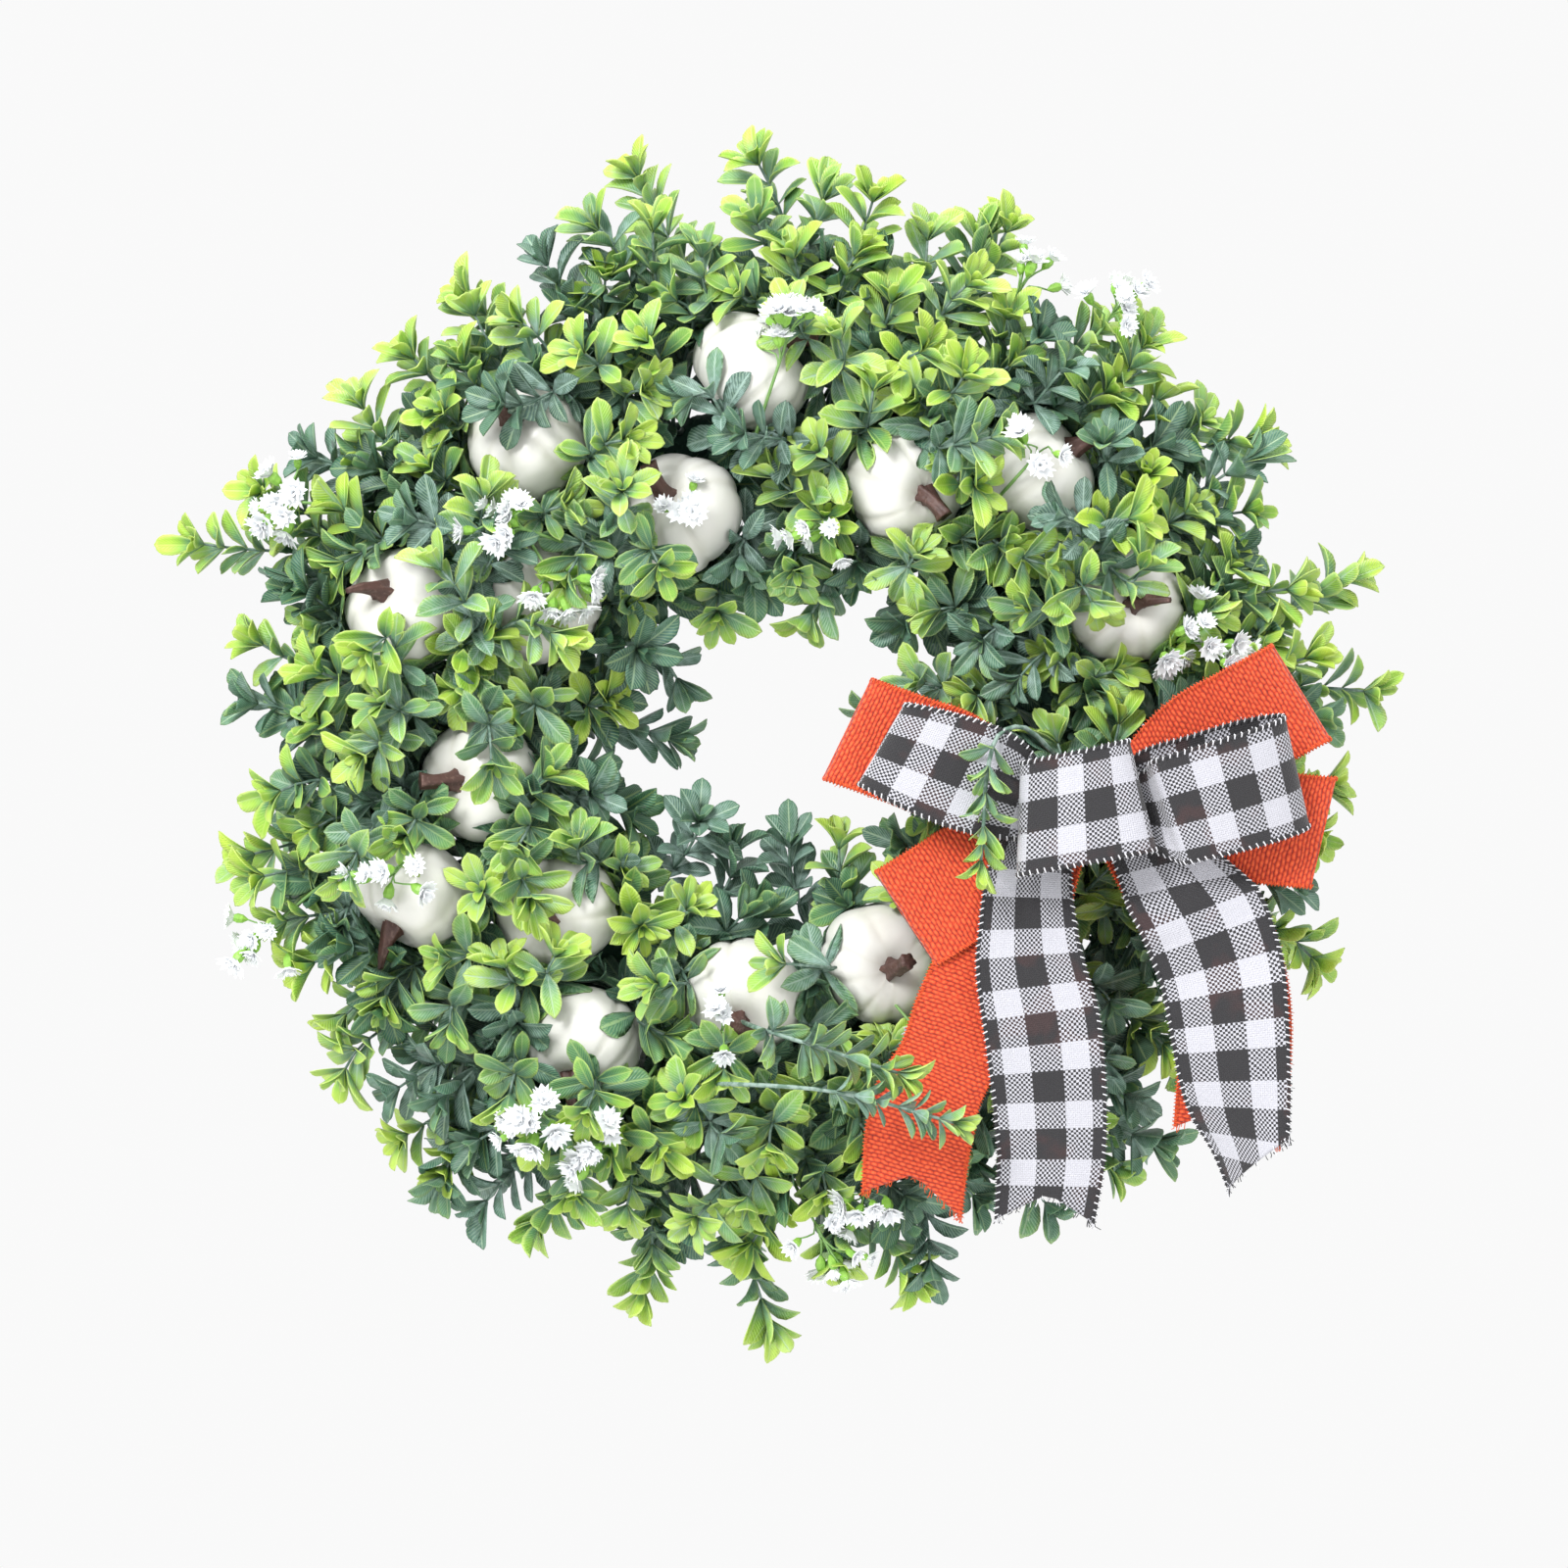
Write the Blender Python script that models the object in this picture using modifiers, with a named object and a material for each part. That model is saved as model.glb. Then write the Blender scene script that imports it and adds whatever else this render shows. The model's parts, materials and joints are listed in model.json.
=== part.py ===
# Harvest door wreath: a taped foam ring, boxwood bunches, mini pumpkins, filler flowers and a two-ribbon bow.
# The wreath faces -Y and hangs by its wire loop. The origin is the inside of the loop's crown.
import math

import bmesh
import bpy
from mathutils import Matrix, Vector

# Clearances
GAP = 0.0003                 # between pieces that touch
SEAT = 0.0005                # between a piece and the ring that it sits on
SPRAY_GAP = 0.0015           # between soft bunches and what is next to them

# Ring
RING_MID_RADIUS = 0.1045
RING_WIDTH = 0.039
RING_DEPTH = 0.025
RING_ROUND = 0.009           # radius of the ring's two front edges
TAPE_THICKNESS = 0.001
TAPE_SEAM = 0.004            # open seam of the tape, at the ring's back
RING_STEPS = 40

# Hanger
BACK_INSET = 0.005           # from the hanger's wire back to the ring's flat back
HANGER_WIRE = 0.001          # wire radius
HANGER_HALF_WIDTH = 0.0065
HANGER_RISE = 0.0115         # from the pivot up to the inside of the crown
PIVOT_HEIGHT = 0.0048        # of the pivot over the strap's underside
PIVOT_CLEARANCE = 0.0004
STRAP_THICKNESS = 0.0016
LUG_THICKNESS = 0.003
LUG_SIZE = 0.006
HANGER_ROOM = 0.004          # free space round the hanger in the foliage

# Pumpkins
PUMPKIN_WIDTH = 0.045
PUMPKIN_HEIGHT = 0.037
PUMPKIN_RIBS = 8
RIB_DEPTH = 0.07             # share of the radius that is lost between ribs
DIMPLE = 0.0045              # depth of the hollow at each end
STEM_LENGTH = 0.013
STEM_BASE = 0.0034
STEM_TIP = 0.0021
STEM_BEND = 0.75             # radians, base to tip
STEM_ROOT_DEPTH = 0.45       # share of the dimple that the stem's foot goes down
DIMPLE_GIRTH = 0.8           # share of the radius that the dimple takes in

# Foliage
FOLIAGE_RADIUS = 0.228
FOLIAGE_LOBE = 0.009
FOLIAGE_FRONT = 0.052        # height over the door, at the crest
FOLIAGE_LIFT = 0.001         # between the bunches and the door
BUNCH_STEPS = 8
OUTER_BUNCHES = 8
INNER_BUNCHES = 3
INNER_BUNCH_THICKNESS = 0.014
STEM_ROOM = 0.006            # room beyond the outer pumpkins for their stems
OUTER_BACK_SLOPE = (0.3, 4)  # share of the overhang, and lifts over the door, of the outer bunches' back edge
OUTER_TIP_SHARE = 0.55       # of the ring's depth, where the outer bunches reach furthest
OUTER_SHOULDER = 0.2         # share of the rise, and of the overhang, of the outer bunches' rounded shoulder
OUTER_SHELF = 0.75           # share of the rise where the face next to the pumpkins starts
INNER_LOBE_SHARE = 0.4       # of FOLIAGE_LOBE, for the inner bunches
INNER_CREST = 0.7            # share of a pumpkin's radius, where the inner bunches slope off
INNER_SLOPE = 0.003          # how far their crest and their foot stand back from their tip
INNER_FOOT_LIFTS = 3         # lifts over the door, of the inner bunches' foot

# Bow
BOW_ANGLE = -12.9            # degrees, of the knot round the ring
BOW_OFFSET = 0.0075          # of the knot outside the ring's middle radius
RIBBON_WIDTH = 0.040
RIBBON_THICKNESS = 0.001
LOOP_ROOT = 0.017            # from the knot's middle to where a loop starts
LOOP_PINCH = 0.38            # share of the width that is left at the root
LOOP_FLARE = 0.55            # share of the reach over which the full width comes back
LOOP_STEPS = 16
LOOP_OPENING = 0.5           # radians, from the back of a loop to each end of its ribbon
BURLAP_LOOP_DEPTH = 0.007
CHECK_LOOP_DEPTH = 0.010
FRONT_LOOP_DEPTH = 0.013
FRONT_LOOP_REACH = 0.025
FRONT_LOOP_TILT = 5          # degrees
FRONT_LOOP_SHIFT = (0.001, 0.003)
FRONT_LOOP_OPENING = 0.35
LAYER_GAP = 0.001
KNOT_HALF_LENGTH = 0.0095
KNOT_HALF_HEIGHT = 0.011
HINGE_CLEARANCE = 0.004      # of the tails' bend line below the loops
TIE_RADIUS = 0.001
FLOWER_STEM = 0.0008
FLOWER_HEAD = 0.0034

# Worked out from the sizes above
RING_INNER = RING_MID_RADIUS - RING_WIDTH / 2
RING_OUTER = RING_MID_RADIUS + RING_WIDTH / 2
HANG_DROP = RING_OUTER + SEAT + PIVOT_HEIGHT + HANGER_RISE
PUMPKIN_RADIUS = PUMPKIN_WIDTH / 2
PUMPKIN_FORWARD = RING_DEPTH + SEAT + PUMPKIN_RADIUS
PUMPKIN_FRONT = PUMPKIN_FORWARD + PUMPKIN_RADIUS
BOW_RADIUS = RING_MID_RADIUS + BOW_OFFSET
BOW_BACK = PUMPKIN_FRONT + 0.004
LOWER_BACK = BOW_BACK + BURLAP_LOOP_DEPTH + LAYER_GAP
BURLAP_TAIL = LOWER_BACK + BURLAP_LOOP_DEPTH + LAYER_GAP
CHECK_TAIL = BURLAP_TAIL + RIBBON_THICKNESS + LAYER_GAP
CHECK_BACK = BURLAP_TAIL
FRONT_BACK = CHECK_BACK + CHECK_LOOP_DEPTH + LAYER_GAP
HINGE_DROP = RIBBON_WIDTH / 2 + HINGE_CLEARANCE

# Each pumpkin, counter-clockwise: how far its middle is outside the ring's middle radius in pumpkin widths,
# the free space to the pumpkin before it, the direction in the wreath's face that its crown points to,
# how far the crown leans to the front, and the direction that its stem bends to, in degrees.
PUMPKINS = (
    ("pumpkin_01", 0.66, 0.000, 0, 74, 0),
    ("pumpkin_02", 0.68, 0.011, 45, 25, 20),
    ("pumpkin_03", -0.01, 0.0033, -20, 66, -60),
    ("pumpkin_04", 0.66, 0.024, 30, 12, 0),
    ("pumpkin_05", -0.32, 0.0126, 114, 62, 114),
    ("pumpkin_06", 0.83, 0.0158, 115, 52, 150),
    ("pumpkin_07", -0.08, 0.0134, -50, 64, 0),
    ("pumpkin_08", 0.87, 0.003, 150, 56, 235),
    ("pumpkin_09", 0.10, 0.023, 180, 68, 180),
    ("pumpkin_10", 0.85, 0.0018, 233, 30, 250),
    ("pumpkin_11", -0.08, 0.0068, 200, 76, 150),
    ("pumpkin_12", 0.57, 0.0042, 262, 46, 300),
    ("pumpkin_13", -0.23, 0.0149, 255, 74, 20),
    ("pumpkin_14", -0.36, 0.0072, 30, 82, 60),
)
FIRST_PUMPKIN_ANGLE = 22

# Each loop: its direction from the knot in degrees, its reach, and the layer that it lies in.
LOOPS = (
    ("burlap_loop_upper_left", "burlap", 160.6, 0.089, BOW_BACK, BURLAP_LOOP_DEPTH),
    ("burlap_loop_upper_right", "burlap", 28.4, 0.091, BOW_BACK, BURLAP_LOOP_DEPTH),
    ("burlap_loop_lower_left", "burlap", 211.4, 0.073, LOWER_BACK, BURLAP_LOOP_DEPTH),
    ("burlap_loop_lower_right", "burlap", -5.0, 0.089, LOWER_BACK, BURLAP_LOOP_DEPTH),
    ("check_loop_left", "check", 161.7, 0.077, CHECK_BACK, CHECK_LOOP_DEPTH),
    ("check_loop_right", "check", 9.5, 0.080, CHECK_BACK, CHECK_LOOP_DEPTH),
)

# Each tail: its layer and its middle line from the bend line down, sideways from the knot in ribbon widths
# and down in metres.
TAILS = (
    ("burlap_tail_left", "burlap", BURLAP_TAIL,
     ((-0.20, 0.0), (-0.55, 0.031), (-1.05, 0.071), (-1.50, 0.114))),
    ("burlap_tail_right", "burlap", BURLAP_TAIL,
     ((0.70, 0.0), (1.25, 0.026), (1.425, 0.056), (1.25, 0.099))),
    ("check_tail_left", "check", CHECK_TAIL,
     ((-0.45, 0.0), (-0.475, 0.021), (-0.35, 0.050), (-0.275, 0.080), (-0.275, 0.120))),
    ("check_tail_right", "check", CHECK_TAIL,
     ((0.825, 0.0), (1.175, 0.021), (1.35, 0.050), (1.425, 0.076), (1.50, 0.104))),
)
TAIL_TOP_SHARE = 0.76        # of the width, where a tail is gathered at its bend line
TAIL_TOP_STEPS = 4           # steps from the level top edge to the full width
TAIL_SPAN_STEPS = 4          # steps between two given points of a tail's middle line

# Each flower stem, over the pumpkins' fronts: its root and its head, each as the distance outside the ring's
# middle radius in pumpkin widths and the degrees round the ring.
FLOWERS = (
    ("flower_spray_top", -0.14, 97, 0.83, 89),
    ("flower_spray_upper_left", -0.23, 134, 0.34, 141),
    ("flower_spray_lower_left", 0.30, 190, 0.90, 199),
    ("flower_spray_bottom", 0.52, 240, 1.17, 237),
)
# Along a flower stem: the share of its length, and how far its thickness has swollen to the head's.
FLOWER_SWELL = ((0.0, 0.0), (0.35, 0.0), (0.7, 0.0), (0.78, 0.35), (0.88, 0.9), (0.96, 1.0), (1.0, 0.7))

COLOURS = {
    "foam": ((0.10, 0.22, 0.14), 0.9, 0.0),
    "tape": ((0.010, 0.045, 0.030), 0.75, 0.0),
    "strap": ((0.012, 0.040, 0.028), 0.7, 0.0),
    "wire": ((0.03, 0.05, 0.03), 0.45, 0.6),
    "pumpkin": ((0.80, 0.78, 0.72), 0.35, 0.0),
    "stem": ((0.10, 0.045, 0.035), 0.6, 0.0),
    "foliage": ((0.16, 0.33, 0.06), 0.45, 0.0),
    "inner_foliage": ((0.035, 0.12, 0.07), 0.5, 0.0),
    "flower": ((0.75, 0.80, 0.74), 0.6, 0.0),
    "burlap": ((0.72, 0.09, 0.02), 0.85, 0.0),
    "check": ((0.20, 0.20, 0.21), 0.8, 0.0),
    "knot": ((0.05, 0.05, 0.055), 0.8, 0.0),
}


def clear_scene():
    for old in list(bpy.data.objects):
        bpy.data.objects.remove(old, do_unlink=True)


def new_collection(name):
    collection = bpy.data.collections.new(name)
    bpy.context.scene.collection.children.link(collection)
    return collection


clear_scene()
WREATH = new_collection("harvest_door_wreath")
CUTTERS = new_collection("cutters")


def material(name, look):
    colour, roughness, metallic = COLOURS[look]
    made = bpy.data.materials.new(name)
    made.use_nodes = True
    shader = made.node_tree.nodes["Principled BSDF"]
    shader.inputs["Base Color"].default_value = (*colour, 1)
    shader.inputs["Roughness"].default_value = roughness
    shader.inputs["Metallic"].default_value = metallic
    made.diffuse_color = (*colour, 1)
    return made


def add(name, mesh, look, smooth=True):
    piece = bpy.data.objects.new(name, mesh)
    WREATH.objects.link(piece)
    mesh.materials.append(material(name, look))
    if smooth:
        mesh.shade_smooth()
        mesh.set_sharp_from_angle(angle=math.radians(40))
    return piece


def mesh_from(bm, name):
    bmesh.ops.recalc_face_normals(bm, faces=bm.faces)
    mesh = bpy.data.meshes.new(name)
    bm.to_mesh(mesh)
    bm.free()
    return mesh


# A place given by its radius and angle round the ring, and its height in front of the ring's flat back.
def place(radius, degrees, forward):
    turn = math.radians(degrees)
    return Vector((radius * math.cos(turn), BACK_INSET - forward, radius * math.sin(turn) - HANG_DROP))


# A direction given in the wreath's face, leaning towards the front.
def direction(degrees, lean=0.0):
    turn = math.radians(degrees)
    tilt = math.radians(lean)
    return Vector((math.cos(turn) * math.cos(tilt), -math.sin(tilt), math.sin(turn) * math.cos(tilt)))


# A closed body through a row of outlines that have the same number of points.
def loft(name, outlines):
    bm = bmesh.new()
    rings = [[bm.verts.new(point) for point in outline] for outline in outlines]
    count = len(rings[0])
    for near, far in zip(rings, rings[1:]):
        for i in range(count):
            j = (i + 1) % count
            bm.faces.new((near[i], near[j], far[j], far[i]))
    bm.faces.new(list(reversed(rings[0])))
    bm.faces.new(rings[-1])
    return mesh_from(bm, name)


# A wire or stem through points, as thick as each point's radius says.
def wire(name, points, radii, look, sides=2, caps=True):
    curve = bpy.data.curves.new(name, "CURVE")
    curve.dimensions = "3D"
    curve.bevel_depth = 1.0
    curve.bevel_resolution = sides
    curve.use_fill_caps = caps
    spline = curve.splines.new("POLY")
    spline.points.add(len(points) - 1)
    for at, point, radius in zip(spline.points, points, radii):
        at.co = (*point, 1)
        at.radius = radius
    piece = bpy.data.objects.new(name, curve)
    WREATH.objects.link(piece)
    curve.materials.append(material(name, look))
    return piece


def smooth_points(points, per_span):
    found = []
    last = len(points) - 1
    for i in range(last):
        before = points[max(i - 1, 0)]
        start = points[i]
        end = points[i + 1]
        after = points[min(i + 2, last)]
        for k in range(per_span):
            t = k / per_span
            found.append(0.5 * (2 * start + (end - before) * t
                                + (2 * before - 5 * start + 4 * end - after) * t * t
                                + (3 * start - before - 3 * end + after) * t ** 3))
    found.append(points[-1])
    return found


# The ring's section as radius and height over the back: flat back, rounded front, inset by a margin.
def ring_section(margin):
    inner = RING_INNER + margin
    outer = RING_OUTER - margin
    front = RING_DEPTH - margin
    bend = RING_ROUND - margin
    steps = 4
    outer_edge = [(outer - bend + bend * math.sin(a), front - bend + bend * math.cos(a))
                  for a in (math.pi / 2 * k / steps for k in range(steps + 1))]
    inner_edge = [(inner + bend - bend * math.cos(a), front - bend + bend * math.sin(a))
                  for a in (math.pi / 2 * k / steps for k in range(steps + 1))]
    return inner, outer, margin, outer_edge, inner_edge


def turned(name, section, look):
    mesh = bpy.data.meshes.new(name)
    points = [(radius, 0, height) for radius, height in section]
    edges = [(i, (i + 1) % len(points)) for i in range(len(points))]
    mesh.from_pydata(points, edges, [])
    piece = add(name, mesh, look, smooth=False)
    piece.rotation_euler = (math.pi / 2, 0, 0)
    piece.location = place(0, 0, 0)
    screw = piece.modifiers.new("turn", "SCREW")
    screw.axis = "Z"
    screw.steps = RING_STEPS
    screw.render_steps = RING_STEPS
    screw.use_merge_vertices = True
    screw.merge_threshold = 0.00001
    screw.use_smooth_shade = True
    return piece


def ring_core():
    inner, outer, back, outer_edge, inner_edge = ring_section(TAPE_THICKNESS + GAP)
    section = inner_edge + outer_edge + [(outer, back), (inner, back)]
    turned("ring_core", section, "foam")


def ring_wrap():
    inner, outer, back, outer_edge, inner_edge = ring_section(0)
    seam = TAPE_SEAM / 2
    middle = RING_MID_RADIUS
    outside = [(middle - seam, back), (inner, back)] + inner_edge + outer_edge
    outside += [(outer, back), (middle + seam, back)]
    inner, outer, back, outer_edge, inner_edge = ring_section(TAPE_THICKNESS)
    inside = [(middle - seam, back), (inner, back)] + inner_edge + outer_edge
    inside += [(outer, back), (middle + seam, back)]
    turned("ring_wrap", outside + inside[::-1], "tape")


# The strap sits on top of the ring; its two lugs carry the loop's ends.
def hanger():
    pivot = Vector((0, 0, -HANGER_RISE))
    under = pivot.z - PIVOT_HEIGHT
    lug_middle = HANGER_HALF_WIDTH + HANGER_WIRE + GAP * 2 + LUG_THICKNESS / 2
    half_length = lug_middle + LUG_THICKNESS / 2
    bm = bmesh.new()
    bmesh.ops.create_cube(bm, size=1, matrix=Matrix.Translation((0, 0, under + STRAP_THICKNESS / 2))
                          @ Matrix.Diagonal((half_length * 2, LUG_SIZE, STRAP_THICKNESS, 1)))
    strap = add("hanger_strap", mesh_from(bm, "hanger_strap"), "strap", smooth=False)
    top = pivot.z + LUG_SIZE / 2
    for side in (-1, 1):
        lug = box_cutter("lug", (side * lug_middle, 0, (under + GAP + top) / 2),
                         (LUG_THICKNESS, LUG_SIZE, top - under - GAP))
        join(strap, lug, "UNION")
    hole = bore_cutter("pivot_hole", pivot, HANGER_WIRE + PIVOT_CLEARANCE, half_length * 2.4)
    join(strap, hole, "DIFFERENCE")
    steps = 8
    arch = [Vector((HANGER_HALF_WIDTH * math.cos(a), 0, HANGER_HALF_WIDTH * math.sin(a)))
            for a in (math.pi * k / steps for k in range(steps + 1))]
    crown = Vector((0, 0, HANGER_RISE + HANGER_WIRE - HANGER_HALF_WIDTH))
    foot = Vector((half_length + HANGER_WIRE, 0, 0))
    points = [foot, Vector((HANGER_HALF_WIDTH, 0, 0))] + [crown + point for point in arch]
    points += [Vector((-HANGER_HALF_WIDTH, 0, 0)), -foot]
    loop = wire("hanger_loop", points, [HANGER_WIRE] * len(points), "wire")
    loop.location = pivot


def box_cutter(name, centre, size):
    bm = bmesh.new()
    bmesh.ops.create_cube(bm, size=1, matrix=Matrix.Translation(centre) @ Matrix.Diagonal((*size, 1)))
    return cutter(name, mesh_from(bm, name))


def bore_cutter(name, centre, radius, length):
    bm = bmesh.new()
    bmesh.ops.create_cone(bm, cap_ends=True, segments=16, radius1=radius, radius2=radius, depth=length,
                          matrix=Matrix.Translation(centre) @ Matrix.Rotation(math.pi / 2, 4, "Y"))
    return cutter(name, mesh_from(bm, name))


def cutter(name, mesh):
    made = bpy.data.objects.new(name, mesh)
    CUTTERS.objects.link(made)
    made.hide_render = True
    made.display_type = "WIRE"
    return made


def join(piece, other, operation):
    cut = piece.modifiers.new(other.name, "BOOLEAN")
    cut.operation = operation
    cut.object = other
    cut.solver = "EXACT"


# The angle between two neighbours whose middles are a given distance apart.
def angle_between(first_radius, second_radius, distance):
    part = first_radius ** 2 + second_radius ** 2 - distance ** 2
    return math.degrees(math.acos(part / (2 * first_radius * second_radius)))


def pumpkin_places():
    places = []
    angle = FIRST_PUMPKIN_ANGLE
    before = None
    for name, offset, space, crown, lean, bend in PUMPKINS:
        radius = RING_MID_RADIUS + offset * PUMPKIN_WIDTH
        if before is not None:
            angle += angle_between(before, radius, PUMPKIN_WIDTH + space)
        places.append((name, radius, angle, crown, lean, bend))
        before = radius
    return places


def pumpkin_mesh(name):
    bm = bmesh.new()
    bmesh.ops.create_uvsphere(bm, u_segments=PUMPKIN_RIBS * 2, v_segments=7, radius=1)
    for vert in bm.verts:
        turn = math.atan2(vert.co.y, vert.co.x)
        girth = math.hypot(vert.co.x, vert.co.y)
        rib = 1 - RIB_DEPTH * (0.5 - 0.5 * math.cos(PUMPKIN_RIBS * turn))
        pole = max(0.0, 1 - girth / DIMPLE_GIRTH) ** 2
        height = abs(vert.co.z) * PUMPKIN_HEIGHT / 2 - DIMPLE * pole
        vert.co = (vert.co.x * rib * PUMPKIN_RADIUS, vert.co.y * rib * PUMPKIN_RADIUS,
                   math.copysign(height, vert.co.z))
    return mesh_from(bm, name)


def pumpkin_stem(name, centre, crown, bend):
    root = centre + crown * (PUMPKIN_HEIGHT / 2 - DIMPLE * STEM_ROOT_DEPTH + GAP)
    side = bend - crown * bend.dot(crown)
    side.normalize()
    outlines = []
    steps = 4
    for k in range(steps + 1):
        share = k / steps
        turn = STEM_BEND * share
        run = STEM_LENGTH / STEM_BEND
        middle = root + crown * (run * math.sin(turn)) + side * (run * (1 - math.cos(turn)))
        tangent = crown * math.cos(turn) + side * math.sin(turn)
        across = tangent.cross(side.cross(crown)).normalized()
        over = tangent.cross(across).normalized()
        radius = STEM_TIP + (STEM_BASE - STEM_TIP) * (1 - share) ** 2
        outlines.append([middle + across * radius * math.cos(a) + over * radius * math.sin(a)
                         for a in (math.tau * i / 6 for i in range(6))])
    add(name, loft(name, outlines), "stem")


def pumpkins():
    for name, radius, angle, crown_turn, lean, bend_turn in pumpkin_places():
        centre = place(radius, angle, PUMPKIN_FORWARD)
        crown = direction(crown_turn, lean)
        piece = add(name, pumpkin_mesh(name), "pumpkin")
        piece.rotation_mode = "QUATERNION"
        piece.rotation_quaternion = crown.to_track_quat("Z", "Y")
        piece.location = centre
        pumpkin_stem(name.replace("pumpkin", "pumpkin_stem"), centre, crown, direction(bend_turn))


def bunch(name, start, end, section, look):
    outlines = []
    for k in range(BUNCH_STEPS + 1):
        share = k / BUNCH_STEPS
        lobe = 0.5 + 0.5 * math.cos(4 * math.pi * share)
        angle = start + (end - start) * share
        outlines.append([place(radius, angle, forward) for radius, forward in section(angle, lobe)])
    add(name, loft(name, outlines), look)


# Low under the outer pumpkins, stepping up beyond them, and cut back round the hanger.
def outer_section(angle, lobe):
    reach = max(radius for _, radius, *_ in pumpkin_places()) + PUMPKIN_RADIUS + STEM_ROOM
    hanger_half = HANGER_HALF_WIDTH + HANGER_WIRE + LUG_THICKNESS + GAP * 2 + HANGER_ROOM
    at_hanger = abs((angle - 90 + 180) % 360 - 180) < math.degrees(math.asin(hanger_half / RING_OUTER))
    start = HANG_DROP + HANGER_WIRE * 2 + HANGER_ROOM if at_hanger else RING_OUTER + SEAT
    tip = FOLIAGE_RADIUS - FOLIAGE_LOBE * lobe
    rise = FOLIAGE_FRONT - RING_DEPTH
    back_share, back_lifts = OUTER_BACK_SLOPE
    return [(start, FOLIAGE_LIFT), (tip - back_share * (tip - reach), FOLIAGE_LIFT * back_lifts),
            (tip, RING_DEPTH * OUTER_TIP_SHARE), (tip - FOLIAGE_LOBE, RING_DEPTH + rise * OUTER_SHOULDER),
            (reach + OUTER_SHOULDER * (tip - reach), FOLIAGE_FRONT), (reach, RING_DEPTH + rise * OUTER_SHELF),
            (reach, RING_DEPTH), (start, RING_DEPTH)]


# Inside the ring, stepping in past the inner pumpkins.
def inner_section(_angle, lobe):
    reach = min(radius for _, radius, *_ in pumpkin_places()) - PUMPKIN_RADIUS - SPRAY_GAP
    end = RING_INNER - SEAT
    tip = reach - INNER_BUNCH_THICKNESS + FOLIAGE_LOBE * INNER_LOBE_SHARE * lobe
    return [(end, FOLIAGE_LIFT), (end, RING_DEPTH - GAP), (reach, RING_DEPTH - GAP),
            (reach, RING_DEPTH + PUMPKIN_RADIUS),
            (tip + INNER_SLOPE, RING_DEPTH + PUMPKIN_RADIUS * INNER_CREST),
            (tip, RING_DEPTH), (tip + INNER_SLOPE, FOLIAGE_LIFT * INNER_FOOT_LIFTS)]


def foliage():
    gap = math.degrees(SPRAY_GAP / RING_OUTER) / 2
    span = 360 / OUTER_BUNCHES
    for k in range(OUTER_BUNCHES):
        start = 90 + span * k
        bunch(f"boxwood_outer_{k + 1}", start + gap, start + span - gap, outer_section, "foliage")
    span = 360 / INNER_BUNCHES
    inner_gap = math.degrees(SPRAY_GAP / RING_INNER)
    for k in range(INNER_BUNCHES):
        start = 30 + span * k
        bunch(f"boxwood_inner_{k + 1}", start + inner_gap, start + span - inner_gap, inner_section,
              "inner_foliage")


def flowers():
    forward = PUMPKIN_FRONT + SPRAY_GAP + FLOWER_HEAD
    radii = [FLOWER_STEM + (FLOWER_HEAD - FLOWER_STEM) * part for _, part in FLOWER_SWELL]
    for name, root_offset, root_angle, head_offset, head_angle in FLOWERS:
        root = place(RING_MID_RADIUS + root_offset * PUMPKIN_WIDTH, root_angle, forward)
        head = place(RING_MID_RADIUS + head_offset * PUMPKIN_WIDTH, head_angle, forward)
        wire(name, [root.lerp(head, share) for share, _ in FLOWER_SWELL], radii, "flower")


# A ribbon through points, with its width along a direction at each point.
def ribbon(name, points, across, widths, look):
    outlines = []
    last = len(points) - 1
    for i, (point, side, width) in enumerate(zip(points, across, widths)):
        tangent = (points[min(i + 1, last)] - points[max(i - 1, 0)]).normalized()
        normal = tangent.cross(side).normalized()
        edge = side * width / 2
        skin = normal * RIBBON_THICKNESS / 2
        outlines.append([point + edge + skin, point - edge + skin, point - edge - skin, point + edge - skin])
    add(name, loft(name, outlines), look)


def knot_place():
    return place(BOW_RADIUS, BOW_ANGLE, 0)


# A flat teardrop: both layers run from the knot to the fold and back.
def bow_loop(name, look, degrees, reach, back, depth):
    knot = knot_place()
    along = direction(degrees)
    side = direction(degrees + 90)
    half_depth = (depth - RIBBON_THICKNESS) / 2
    middle = Vector((0, -(back + depth / 2), 0))
    points = []
    widths = []
    for k in range(LOOP_STEPS + 1):
        turn = LOOP_OPENING + (math.tau - 2 * LOOP_OPENING) * k / LOOP_STEPS
        share = (1 - math.cos(turn)) / 2
        run = LOOP_ROOT + (reach - RIBBON_THICKNESS / 2 - LOOP_ROOT) * share
        bulge = half_depth * math.sin(turn) * math.sin(turn / 2) ** 0.5
        points.append(knot + middle + along * run + Vector((0, bulge, 0)))
        flare = math.sqrt(min(1.0, share / LOOP_FLARE))
        widths.append(RIBBON_WIDTH * (LOOP_PINCH + (1 - LOOP_PINCH) * flare))
    ribbon(name, points, [side] * len(points), widths, look)


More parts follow.
